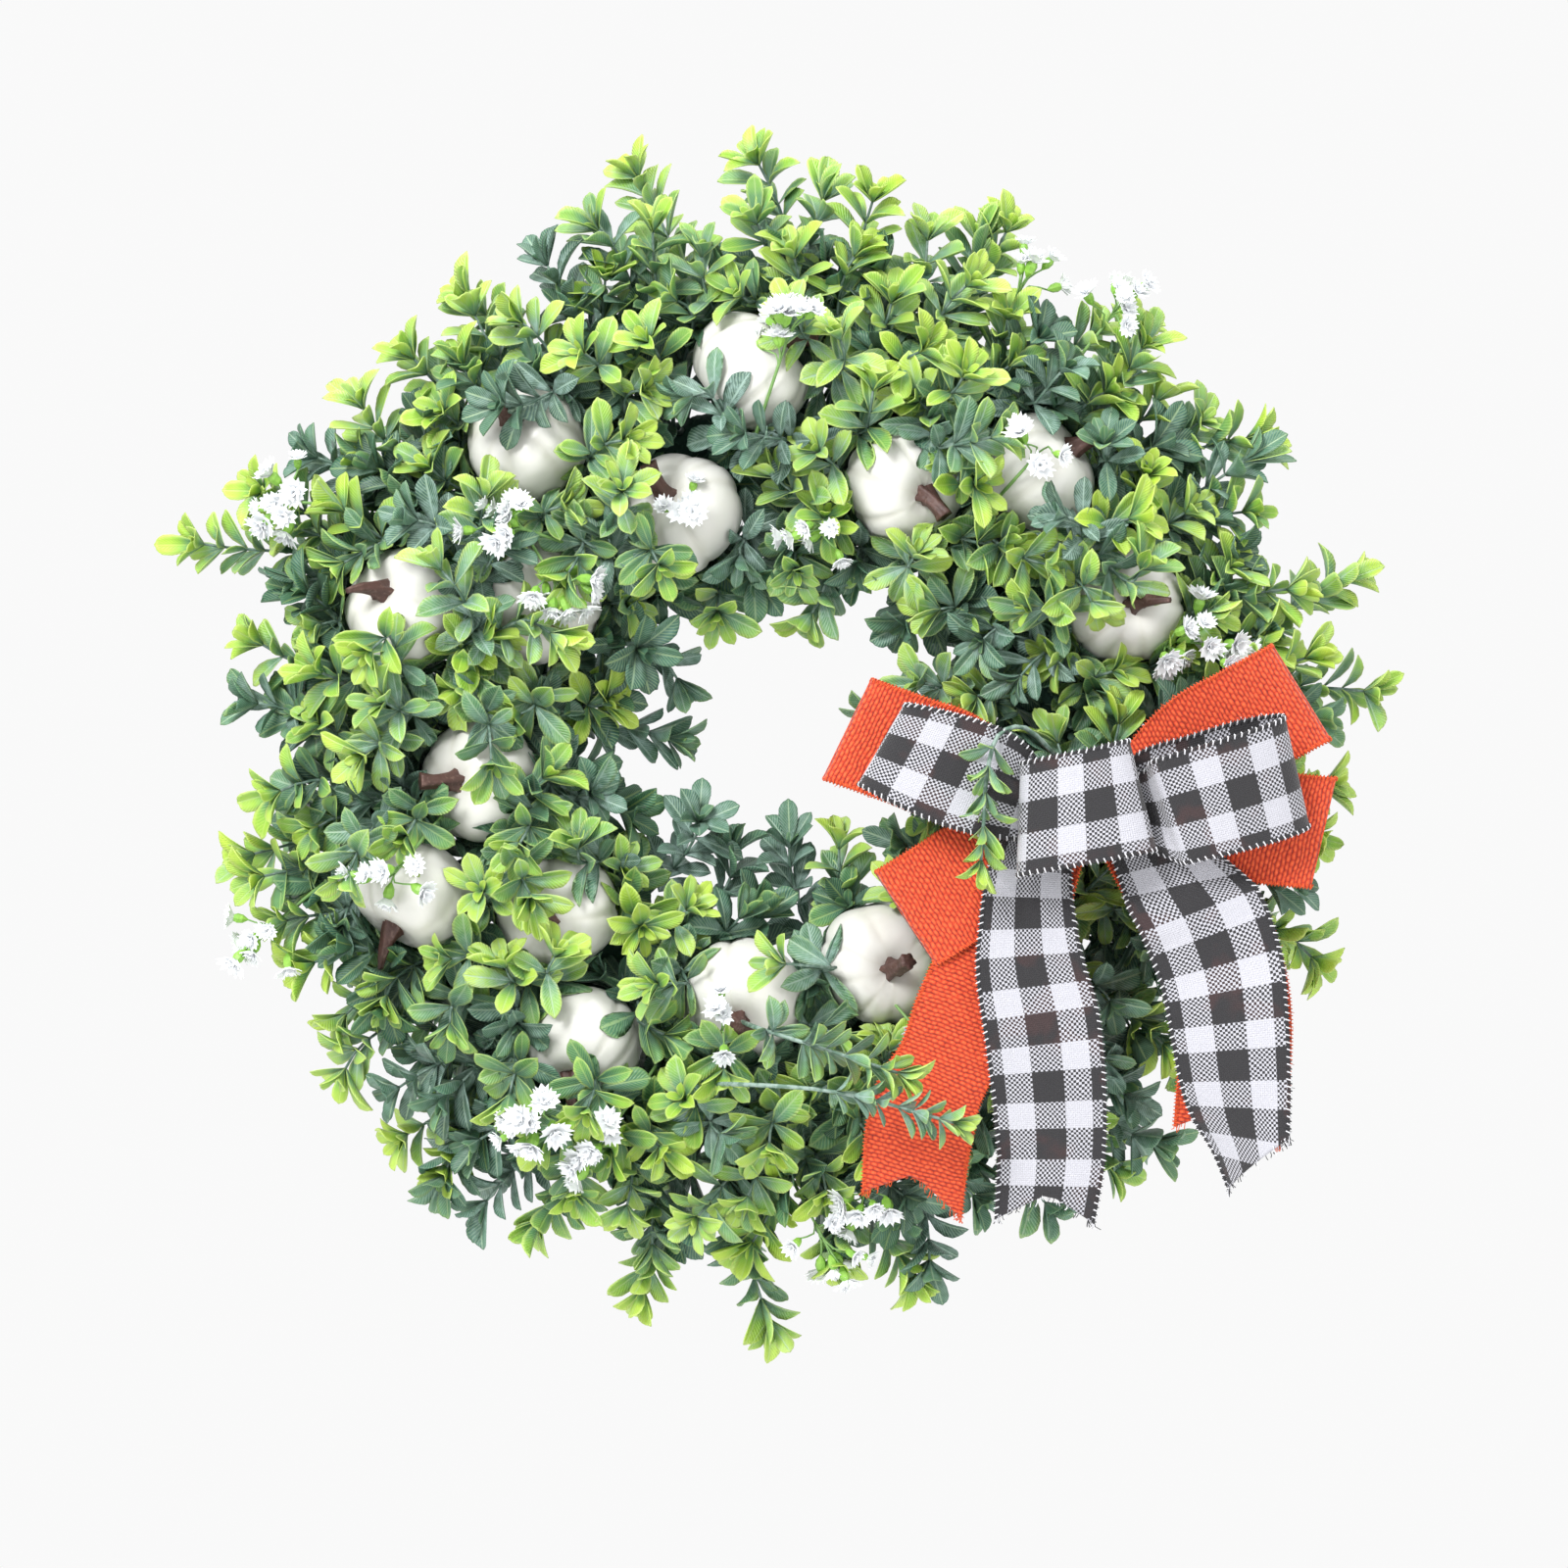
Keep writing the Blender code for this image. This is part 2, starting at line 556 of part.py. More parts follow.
# The small loop that lies over the knot, open at its back.
def front_loop():
    knot = knot_place()
    along = direction(FRONT_LOOP_TILT)
    side = direction(FRONT_LOOP_TILT + 90)
    half_depth = (FRONT_LOOP_DEPTH - RIBBON_THICKNESS) / 2
    sideways, up = FRONT_LOOP_SHIFT
    middle = knot + Vector((sideways, -(FRONT_BACK + FRONT_LOOP_DEPTH / 2), up))
    points = []
    for k in range(LOOP_STEPS + 1):
        turn = math.pi / 2 + FRONT_LOOP_OPENING + (math.tau - 2 * FRONT_LOOP_OPENING) * k / LOOP_STEPS
        points.append(middle + along * FRONT_LOOP_REACH * math.cos(turn)
                      + Vector((0, half_depth * math.sin(turn), 0)))
    ribbon("check_loop_front", points, [side] * len(points), [RIBBON_WIDTH] * len(points), "check")


def bow_tails():
    knot = knot_place()
    for name, look, forward, line in TAILS:
        middle = forward + RIBBON_THICKNESS / 2
        points = [knot + Vector((sideways * RIBBON_WIDTH, -middle, -HINGE_DROP - down))
                  for sideways, down in line]
        points = smooth_points(points, TAIL_SPAN_STEPS)
        last = len(points) - 1
        level = Vector((1, 0, 0))
        across = []
        widths = []
        for i in range(last + 1):
            tangent = (points[min(i + 1, last)] - points[max(i - 1, 0)]).normalized()
            square = tangent.cross(Vector((0, 1, 0))).normalized()
            share = min(1.0, i / TAIL_TOP_STEPS)
            across.append(level.lerp(square, share).normalized())
            widths.append(RIBBON_WIDTH * (TAIL_TOP_SHARE + (1 - TAIL_TOP_SHARE) * share))
        ribbon(name, points, across, widths, look)


def bow_knot():
    knot = knot_place()
    depth = FRONT_BACK - GAP - BOW_BACK
    bm = bmesh.new()
    bmesh.ops.create_cone(bm, cap_ends=True, segments=20, radius1=1, radius2=1, depth=2,
                          matrix=Matrix.Rotation(math.pi / 2, 4, "Y"))
    middle = knot + Vector((0, -(BOW_BACK + depth / 2), 0))
    bmesh.ops.transform(bm, verts=bm.verts, matrix=Matrix.Translation(middle)
                        @ Matrix.Diagonal((KNOT_HALF_LENGTH, depth / 2, KNOT_HALF_HEIGHT, 1)))
    add("bow_knot", mesh_from(bm, "bow_knot"), "knot")


def bow_tie_wire():
    knot = knot_place()
    ends = [knot + Vector((0, -(RING_DEPTH + SEAT), 0)), knot + Vector((0, -(BOW_BACK - GAP), 0))]
    wire("bow_tie_wire", ends, [TIE_RADIUS, TIE_RADIUS], "wire")


def bow():
    for name, look, degrees, reach, back, depth in LOOPS:
        bow_loop(name, look, degrees, reach, back, depth)
    front_loop()
    bow_tails()
    bow_knot()
    bow_tie_wire()


ring_core()
ring_wrap()
hanger()
pumpkins()
foliage()
flowers()
bow()
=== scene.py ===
import json
import math

import bmesh
import bpy
import numpy as np
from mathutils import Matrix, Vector


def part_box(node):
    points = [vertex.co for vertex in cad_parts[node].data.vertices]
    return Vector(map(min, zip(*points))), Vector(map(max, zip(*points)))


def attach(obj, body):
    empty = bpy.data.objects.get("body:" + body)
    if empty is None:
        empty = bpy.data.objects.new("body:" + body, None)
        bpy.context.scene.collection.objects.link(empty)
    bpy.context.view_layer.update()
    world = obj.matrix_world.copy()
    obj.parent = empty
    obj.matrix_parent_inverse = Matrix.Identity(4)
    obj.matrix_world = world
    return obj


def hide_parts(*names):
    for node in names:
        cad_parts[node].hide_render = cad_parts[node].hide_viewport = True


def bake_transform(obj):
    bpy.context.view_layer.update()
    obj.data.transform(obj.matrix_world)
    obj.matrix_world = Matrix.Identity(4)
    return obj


# Harvest door wreath: boxwood sprays, pearly mini pumpkins, filler flowers and a checked and burlap bow,
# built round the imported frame. Metres, +Z up, the wreath faces -Y.

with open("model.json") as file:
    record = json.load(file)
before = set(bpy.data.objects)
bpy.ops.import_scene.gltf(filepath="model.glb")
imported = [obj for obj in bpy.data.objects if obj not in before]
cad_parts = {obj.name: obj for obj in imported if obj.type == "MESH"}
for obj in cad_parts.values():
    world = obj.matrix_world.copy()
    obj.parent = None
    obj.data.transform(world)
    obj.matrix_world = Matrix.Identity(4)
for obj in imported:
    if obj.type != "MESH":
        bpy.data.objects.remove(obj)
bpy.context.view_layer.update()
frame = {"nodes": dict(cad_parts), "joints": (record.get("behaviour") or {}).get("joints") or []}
rng = np.random.default_rng(1762)

ringLow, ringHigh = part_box("ring_wrap")
ringCentre = Vector(((ringLow.x + ringHigh.x) / 2, ringHigh.y, (ringLow.z + ringHigh.z) / 2))
ringOuter = (ringHigh.x - ringLow.x) / 2
ringDepth = ringHigh.y - ringLow.y
ringWidth = 0.039
ringInner = ringOuter - ringWidth
knotLow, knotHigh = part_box("bow_knot")
knotCentre = (knotLow + knotHigh) / 2
hangerLow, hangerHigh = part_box("hanger_loop")
tieLow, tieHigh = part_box("bow_tie_wire")

studio = {
    "cameraDistance": 1.80, "focusForward": 0.045, "lens": 114.0, "aim": (0.0018, -0.0153), "floorDrop": 0.50,
    "floorSize": 2.2, "worldColour": (1.0, 1.0, 1.0), "worldStrength": 0.95,
}


# A point by its distance and angle from the ring's middle, and how far in front of the door.
def place(radius, degrees, forward):
    turn = math.radians(degrees)
    return Vector((ringCentre.x + radius * math.cos(turn), ringCentre.y - forward,
                   ringCentre.z + radius * math.sin(turn)))


def direction(degrees, lean=0.0):
    turn, tilt = math.radians(degrees), math.radians(lean)
    return Vector((math.cos(turn) * math.cos(tilt), -math.sin(tilt), math.sin(turn) * math.cos(tilt)))


def unit(vectors):
    return vectors / np.maximum(np.linalg.norm(vectors, axis=-1, keepdims=True), 1e-9)


def smoothStep(value):
    value = np.clip(value, 0, 1)
    return value * value * (3 - 2 * value)


def newMaterial(name, **settings):
    made = bpy.data.materials.new(name)
    made.use_nodes = True
    shader = made.node_tree.nodes["Principled BSDF"]
    for socket, value in settings.items():
        shader.inputs[socket.replace("_", " ")].default_value = value
    return made, made.node_tree


def addNode(tree, kind, **settings):
    node = tree.nodes.new("ShaderNode" + kind)
    for key, value in settings.items():
        setattr(node, key, value)
    return node


# A value or colour inside a material, so that sums of them read as sums.
class Signal:
    def __init__(self, tree, socket):
        self.tree, self.socket = tree, socket

    def __add__(self, other):
        return combine("ADD", self, other)

    def __radd__(self, other):
        return combine("ADD", other, self)

    def __sub__(self, other):
        return combine("SUBTRACT", self, other)

    def __rsub__(self, other):
        return combine("SUBTRACT", other, self)

    def __mul__(self, other):
        return combine("MULTIPLY", self, other)

    def __truediv__(self, other):
        return combine("DIVIDE", self, other)

    def __pow__(self, other):
        return combine("POWER", self, other)

    def __abs__(self):
        return combine("ABSOLUTE", self)


# Puts values and colours into a node's sockets, and gives back one of its outputs.
def feed(node, sockets, values, output=0):
    tree = node.id_data
    for socket, value in zip(sockets, values):
        if isinstance(value, Signal):
            tree.links.new(value.socket, node.inputs[socket])
        else:
            node.inputs[socket].default_value = (*value, 1) if isinstance(value, tuple) else value
    return Signal(tree, node.outputs[output])


def treeOf(values):
    return next(value.tree for value in values if isinstance(value, Signal))


def combine(operation, *values):
    return feed(addNode(treeOf(values), "Math", operation=operation), (0, 1), values)


def mixColour(factor, first, second, blend="MIX"):
    values = (factor, first, second)
    return feed(addNode(treeOf(values), "Mix", data_type="RGBA", blend_type=blend), (0, 6, 7), values, 2)


def ramp(value, stops):
    node = addNode(value.tree, "ValToRGB")
    while len(node.color_ramp.elements) < len(stops):
        node.color_ramp.elements.new(0.5)
    for element, (at, colour) in zip(node.color_ramp.elements, stops):
        element.position = at
        element.color = (*colour, 1)
    return feed(node, (0,), (value,))


def softRange(value, low, high):
    node = addNode(value.tree, "MapRange", interpolation_type="SMOOTHSTEP")
    return feed(node, (0, 1, 2), (value, low, high))


def noise(tree, scale, detail):
    where = Signal(tree, addNode(tree, "TexCoord").outputs["Object"])
    return feed(addNode(tree, "TexNoise"), ("Scale", "Detail", "Vector"), (scale, detail, where))


def attribute(tree, name):
    return Signal(tree, addNode(tree, "Attribute", attribute_name=name).outputs["Fac"])


def finishMaterial(made, colour, height, distance, strength):
    tree = made.node_tree
    shader = tree.nodes["Principled BSDF"]
    relief = feed(addNode(tree, "Bump"), ("Distance", "Strength", "Height"), (distance, strength, height))
    feed(shader, ("Base Color", "Normal"), (colour, relief))
    return made


leafColours = {
    "deep": (0.016, 0.068, 0.045), "blueGreen": (0.036, 0.135, 0.085), "mid": (0.085, 0.235, 0.085),
    "bright": (0.230, 0.445, 0.036), "lime": (0.410, 0.585, 0.052),
    "rim": (0.540, 0.690, 0.160), "frost": (0.330, 0.470, 0.430),
}


# Soft plastic leaf: tone runs from deep blue-green to lime; frost is the white wash near its foot.
def makeLeafMaterial():
    made, tree = newMaterial("boxwoodLeaf", Roughness=0.42)
    c = leafColours
    tone, frost, along, across = [attribute(tree, key) for key in ("tone", "frost", "along", "across")]
    side = abs(across)
    look = tone * (0.40 + softRange(along, 0.05, 0.80) * 0.60) + (noise(tree, 130.0, 2.0) - 0.5) * 0.24
    base = ramp(look, ((0.0, c["deep"]), (0.26, c["blueGreen"]), (0.50, c["mid"]),
                       (0.74, c["bright"]), (1.0, c["lime"])))
    rib = 1.0 - softRange(side, 0.03, 0.16)
    veins = abs(combine("SINE", along * 40.0 - side * 12.0)) ** 5.0
    veins = combine("MAXIMUM", veins * 0.42, rib * 0.8)
    edge = combine("MAXIMUM", softRange(side, 0.66, 1.0), softRange(along, 0.86, 1.0))
    edge = edge * softRange(tone, 0.20, 0.85)
    rimmed = mixColour(edge * 0.80, mixColour(veins * 0.40, base, c["rim"]), c["rim"])
    speckle = softRange(noise(tree, 330.0, 5.0), 0.36, 0.66)
    wash = frost * (1.15 - along * 0.9) * (speckle * 0.70 + 0.22)
    wash = combine("MINIMUM", wash + veins * frost, 0.88)
    height = noise(tree, 300.0, 3.0) * 0.3 - veins
    return finishMaterial(made, mixColour(wash, rimmed, c["frost"]), height, 0.0004, 0.7)


def makeTwigMaterial():
    made, tree = newMaterial("boxwoodTwig", Roughness=0.5)
    tone = attribute(tree, "tone")
    speckle = softRange(noise(tree, 350.0, 4.0), 0.42, 0.62)
    base = mixColour(tone, (0.016, 0.050, 0.038), (0.16, 0.27, 0.20))
    washed = mixColour(speckle * (tone * 0.8), base, (0.40, 0.50, 0.46))
    return finishMaterial(made, washed, noise(tree, 700.0, 2.0), 0.0003, 0.6)


def makePumpkinMaterial():
    made, tree = newMaterial("pearlySkin", Roughness=0.33, Coat_Weight=0.35, Coat_Roughness=0.28,
                             Sheen_Weight=0.12)
    warm = mixColour(noise(tree, 45.0, 3.0), (0.73, 0.72, 0.68), (0.61, 0.605, 0.58))
    # Painted shade: the crease value darkens the skin in the creases between the lobes and in the dimples at
    # the poles.
    shaded = mixColour(attribute(tree, "crease") * 0.55, warm, (0.56, 0.55, 0.48))
    fleck = softRange(noise(tree, 260.0, 3.0), 0.62, 0.72)
    grain = noise(tree, 90.0, 2.0) + noise(tree, 1500.0, 2.0) * 0.08
    return finishMaterial(made, mixColour(fleck * 0.12, shaded, (0.62, 0.60, 0.52)), grain, 0.0012, 0.35)


def makeStalkMaterial():
    made, tree = newMaterial("brownStalk", Roughness=0.55)
    base = mixColour(noise(tree, 210.0, 4.0), (0.030, 0.013, 0.011), (0.130, 0.062, 0.050))
    dust = softRange(noise(tree, 600.0, 3.0), 0.55, 0.7)
    dusty = mixColour(dust * 0.3, base, (0.26, 0.165, 0.135))
    return finishMaterial(made, dusty, noise(tree, 480.0, 4.0), 0.0006, 0.8)


def makeTapeMaterial():
    made, tree = newMaterial("floralTape", Roughness=0.78)
    crepe = noise(tree, 520.0, 4.0)
    base = mixColour(noise(tree, 60.0, 3.0), (0.006, 0.030, 0.020), (0.018, 0.070, 0.048))
    creped = mixColour(softRange(crepe, 0.55, 0.75), base, (0.035, 0.105, 0.075))
    return finishMaterial(made, creped, crepe, 0.0006, 0.8)


def makePlainMaterial(name, dark, light, scale, roughness, depth=0.0002):
    made, tree = newMaterial(name, Roughness=roughness)
    grain = noise(tree, scale, 3.0)
    return finishMaterial(made, mixColour(grain, dark, light), grain, depth, 0.6)


# How far across (u) and along (v) a ribbon a point is, in metres.
def ribbonPlace(tree):
    node = addNode(tree, "SeparateXYZ")
    coordinates = addNode(tree, "UVMap", uv_map="ribbonPlace")
    tree.links.new(coordinates.outputs[0], node.inputs[0])
    return Signal(tree, node.outputs[0]), Signal(tree, node.outputs[1])


ribbonShape = {"width": 0.040, "thickness": 0.00055, "edge": 0.0011, "step": 0.0016, "stitchPitch": 0.0013,
               "frays": 54}
checkCloth = {
    "square": 0.0103, "firstStripe": 0.0046, "stripeEdge": (0.262, 0.276), "border": (0.0011, 0.0014),
    "speckPitch": 0.00175, "threadPitch": 0.00075,
    "black": (0.016, 0.015, 0.018), "white": (0.50, 0.50, 0.55), "brownBlack": (0.050, 0.020, 0.020),
}


def makeCheckMaterial():
    made, tree = newMaterial("buffaloCheck", Roughness=0.82, Sheen_Weight=0.25)
    c = checkCloth
    u, v = ribbonPlace(tree)

    # a stripe is 1 where its threads are white
    def stripe(value):
        return softRange(abs(combine("FRACT", value / (2 * c["square"])) - 0.5), *c["stripeEdge"])

    def wave(value, pitch):
        return combine("SINE", value * (math.tau / pitch))

    warp, weft = stripe(u + (c["square"] * 1.5 - c["firstStripe"])), stripe(v)
    wander = noise(tree, 160.0, 2.0) * 0.0016
    twill = softRange(wave(u + wander, c["speckPitch"]) * wave(v - wander, c["speckPitch"]), -0.10, 0.10)
    value = warp * twill + weft * (1.0 - twill)
    threads = (wave(u, c["threadPitch"]) + wave(v, c["threadPitch"])) * 0.25
    black = mixColour(softRange(noise(tree, 70.0, 2.0), 0.52, 0.66) * 0.6, c["black"], c["brownBlack"])
    inside = softRange(combine("MINIMUM", u, ribbonShape["width"] - u), *c["border"])
    cloth = mixColour(value * inside, black, c["white"])
    shade = (threads * 0.5 + noise(tree, 1800.0, 2.0)) * 0.30 + 0.80
    grey = feed(addNode(tree, "CombineColor"), (0, 1, 2), (shade, shade, shade))
    return finishMaterial(made, mixColour(1.0, cloth, grey, "MULTIPLY"), twill * 0.5 + threads, 0.00022, 0.8)


burlapCloth = {
    "rowPitch": 0.00150, "dashLength": 0.0027, "light": (0.86, 0.130, 0.035), "middle": (0.56, 0.040, 0.008),
    "dark": (0.20, 0.008, 0.002),
}


def makeBurlapMaterial():
    made, tree = newMaterial("orangeBurlap", Roughness=0.88, Sheen_Weight=0.2)
    c = burlapCloth
    u, v = ribbonPlace(tree)

    # highest in the middle of each yarn
    def rounded(value):
        return (1.0 - abs(combine("FRACT", value) * 2.0 - 1.0)) ** 0.6

    wobble = noise(tree, 140.0, 3.0) * 0.0022
    rows = (v + wobble) / c["rowPitch"]
    dashes = (u + wobble) / c["dashLength"] + combine("FRACT", combine("FLOOR", rows) / 2.0)
    yarn = rounded(rows) * (0.30 + rounded(dashes) * 0.70)
    tone = yarn * 0.95 + noise(tree, 700.0, 3.0) * 0.75 - 0.34
    cloth = ramp(tone, ((0.04, c["dark"]), (0.40, c["middle"]), (0.92, c["light"])))
    return finishMaterial(made, cloth, yarn, 0.0007, 0.9)


leafMaterial = makeLeafMaterial()
twigMaterial = makeTwigMaterial()
pumpkinMaterial = makePumpkinMaterial()
stalkMaterial = makeStalkMaterial()
tapeMaterial = makeTapeMaterial()
checkMaterial = makeCheckMaterial()
burlapMaterial = makeBurlapMaterial()
foamMaterial = makePlainMaterial("floralFoam", (0.03, 0.09, 0.05), (0.07, 0.18, 0.10), 900.0, 0.95, 0.0006)
wireMaterial = makePlainMaterial("coatedWire", (0.008, 0.018, 0.012), (0.02, 0.04, 0.028), 500.0, 0.42)
petalMaterial = makePlainMaterial("whitePetal", (0.66, 0.68, 0.70), (0.88, 0.90, 0.92), 400.0, 0.6)
cupMaterial = makePlainMaterial("greenCup", (0.10, 0.30, 0.03), (0.36, 0.62, 0.10), 260.0, 0.45)
paleStemMaterial = makePlainMaterial("paleStem", (0.10, 0.24, 0.06), (0.26, 0.44, 0.14), 300.0, 0.5)
whiteThreadMaterial = makePlainMaterial("whiteThread", (0.60, 0.60, 0.63), (0.80, 0.80, 0.84), 2500.0, 0.85)
blackThreadMaterial = makePlainMaterial("blackThread", (0.012, 0.012, 0.014), (0.04, 0.04, 0.045), 2500.0, 0.85)
orangeThreadMaterial = makePlainMaterial("orangeThread", (0.45, 0.04, 0.01), (0.82, 0.14, 0.03), 2500.0, 0.9)
print("materials made")


def newPiece(name, points, faces, materials, values=None, places=None, kinds=None, smooth=True):
    mesh = bpy.data.meshes.new(name)
    mesh.from_pydata(np.asarray(points).tolist(), [], [tuple(int(i) for i in face) for face in faces])
    for material in materials:
        mesh.materials.append(material)
    for key, numbers in (values or {}).items():
        mesh.attributes.new(key, "FLOAT", "POINT").data.foreach_set("value", np.asarray(numbers, np.float32))
    if places is not None:
        layer = mesh.uv_layers.new(name="ribbonPlace")
        corners = np.zeros(len(mesh.loops), np.int32)
        mesh.loops.foreach_get("vertex_index", corners)
        layer.data.foreach_set("uv", np.asarray(places, np.float32)[corners].ravel())
    if kinds is not None:
        mesh.polygons.foreach_set("material_index", np.asarray(kinds, np.int32))
    if smooth:
        mesh.shade_smooth()
    mesh.update()
    piece = bpy.data.objects.new(name, mesh)
    bpy.context.scene.collection.objects.link(piece)
    return piece


# Says which body a piece rides on and which node it stands for, and hides that node.
def settle(piece, body, node=None):
    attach(piece, body)
    if node:
        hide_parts(node)


# Faces the mesh outwards; points that lie in one place become one if asked.
def mendMesh(piece, weld=True):
    bm = bmesh.new()
    bm.from_mesh(piece.data)
    if weld:
        bmesh.ops.remove_doubles(bm, verts=bm.verts, dist=0.00002)
    bmesh.ops.recalc_face_normals(bm, faces=bm.faces)
    bm.to_mesh(piece.data)
    bm.free()


# Quads of a grid of rows by columns, closed round the columns if asked.
def gridFaces(rows, columns, closed=False, start=0):
    found = []
    last = columns if closed else columns - 1
    for i in range(rows - 1):
        for j in range(last):
            k = (j + 1) % columns
            found.append((start + i * columns + j, start + i * columns + k,
                          start + (i + 1) * columns + k, start + (i + 1) * columns + j))
    return found


# Both skins of a thin sheet and the strip round its border; the second skin's points follow the first's.
def sheetFaces(rows, columns):
    count = rows * columns
    faces = gridFaces(rows, columns)
    faces += [tuple(count + i for i in face)[::-1] for face in faces]
    border = (list(range(columns)) + [i * columns + columns - 1 for i in range(1, rows)]
              + [(rows - 1) * columns + j for j in range(columns - 2, -1, -1)]
              + [i * columns for i in range(rows - 2, 0, -1)])
    for a, b in zip(border, border[1:] + border[:1]):
        faces.append((b, a, count + a, count + b))
    return faces


# Tubes along paths, gathered into one mesh, each with its own radii, tone and material.
class TubeBundle:
    def __init__(self, sides=6):
        self.sides = sides
        self.points, self.faces, self.tones, self.kinds = [], [], [], []

    def add(self, path, radii, tone=0.5, kind=0):
        path = np.asarray(path, float)
        radii = np.broadcast_to(np.asarray(radii, float), len(path))
        tangent = unit(np.gradient(path, axis=0))
        guide = np.array([0.31, 0.87, 0.38])
        side = unit(np.cross(tangent, guide))
        over = np.cross(tangent, side)
        turns = np.arange(self.sides) * math.tau / self.sides
        ring = (side[:, None] * np.cos(turns)[None, :, None] + over[:, None] * np.sin(turns)[None, :, None])
        points = (path[:, None] + ring * radii[:, None, None]).reshape(-1, 3)
        start = len(self.points)
        self.points.extend(points.tolist())
        self.tones.extend([tone] * len(points))
        faces = gridFaces(len(path), self.sides, True, start)
        faces.append(tuple(start + i for i in range(self.sides))[::-1])
        end = start + (len(path) - 1) * self.sides
        faces.append(tuple(end + i for i in range(self.sides)))
        self.faces.extend(faces)
        self.kinds.extend([kind] * len(faces))

    def finish(self, name, materials):
        return newPiece(name, self.points, self.faces, materials, {"tone": self.tones}, kinds=self.kinds)


# A smooth curve through stations, as so many points.
def curvePoints(stations, count):
    stations = np.asarray(stations, float)
    last = len(stations) - 1
    at = np.linspace(0, last, count)
    low = np.minimum(at.astype(int), last - 1)
    t = (at - low)[:, None]
    before, start = stations[np.maximum(low - 1, 0)], stations[low]
    end, after = stations[low + 1], stations[np.minimum(low + 2, last)]
    return 0.5 * (2 * start + (end - before) * t + (2 * before - 5 * start + 4 * end - after) * t ** 2
                  + (3 * start - before - 3 * end + after) * t ** 3)


pumpkinShape = {
    "count": 14, "ribs": 8, "creaseDepth": 0.085, "lump": 0.0007, "dimple": 0.0052, "dimpleWidth": 0.62,
    "rings": 40, "segments": 96, "width": 0.045, "height": 0.037,
}
stalkShape = {
    "length": 0.0165, "foot": 0.0052, "neck": 0.0024, "end": 0.0030, "point": 0.0009, "ridges": 5,
    "bend": 0.75, "rings": 22, "sides": 20,
}
pointedStalks = (1, 2, 6, 8, 10, 12)
# Which way each stalk bends over, in degrees.
stalkBends = (0, 20, -60, 0, 114, 150, 0, 235, 180, 250, 150, 300, 20, 60)


# The stalk's node says where the crown of its pumpkin is.
def crownDirection(number, centre):
    node = frame["nodes"][f"pumpkin_stem_{number:02d}"]
    points = sorted((v.co - centre for v in node.data.vertices), key=lambda p: p.length)
    foot = sum(points[:6], Vector()) / 6
    return foot.normalized()


def crownAxes(crown):
    side = crown.cross(Vector((0.2, 0.1, 1))).normalized()
    return side, crown.cross(side).normalized()


def makePumpkin(number):
    s = pumpkinShape
    name = f"pumpkin_{number:02d}"
    low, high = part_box(name)
    centre = (low + high) / 2
    crown = crownDirection(number, centre)
    side, over = crownAxes(crown)
    draw = np.random.default_rng(500 + number)
    polar = np.linspace(0.0, math.pi, s["rings"])[:, None]
    turn = (np.arange(s["segments"]) * math.tau / s["segments"])[None, :]
    girth, height = np.sin(polar), np.cos(polar)
    phase = draw.uniform(0, math.tau)
    uneven = 0.22 * np.sin(turn * 2 + draw.uniform(0, 6)) + 0.16 * np.sin(turn * 3 + draw.uniform(0, 6))
    lobe = np.abs(np.sin((turn + uneven) * s["ribs"] / 2 + phase))
    crease = (1 - lobe) ** 2.2
    deepen = 0.55 + 0.45 * np.abs(height)
    radial = 1 - s["creaseDepth"] * crease * deepen
    lumps = sum(math.sin(2.1 * k) * np.sin(turn * (k + 1) + draw.uniform(0, 6))
                * np.cos(polar * k + draw.uniform(0, 6)) for k in range(1, 5))
    radius = s["width"] / 2 * girth ** 0.92 * radial + s["lump"] * lumps * girth
    pole = np.clip(1 - girth / s["dimpleWidth"], 0, 1) ** 1.6
    rise = np.sign(height) * (np.abs(height) ** 0.9 * s["height"] / 2 - s["dimple"] * pole) * np.ones_like(turn)
    local = (radius * np.cos(turn), radius * np.sin(turn), rise)
    points = sum(np.multiply.outer(value, np.array(axis)) for value, axis in zip(local, (side, over, crown)))
    points = (points + np.array(centre)).reshape(-1, 3)
    # Painted shade mask, strongest in the creases and the pole dimples; it is stored as the crease value that
    # darkens the skin.
    shade = (crease * np.clip(girth * 1.6, 0, 1) + pole * 0.9).clip(0, 1) * np.ones_like(turn)
    faces = gridFaces(s["rings"], s["segments"], True)
    piece = newPiece(name + "_skin", points, faces, [pumpkinMaterial], {"crease": shade.ravel()})
    mendMesh(piece)
    settle(piece, "wreath", name)
    makeStalk(number, centre, crown)
    return centre


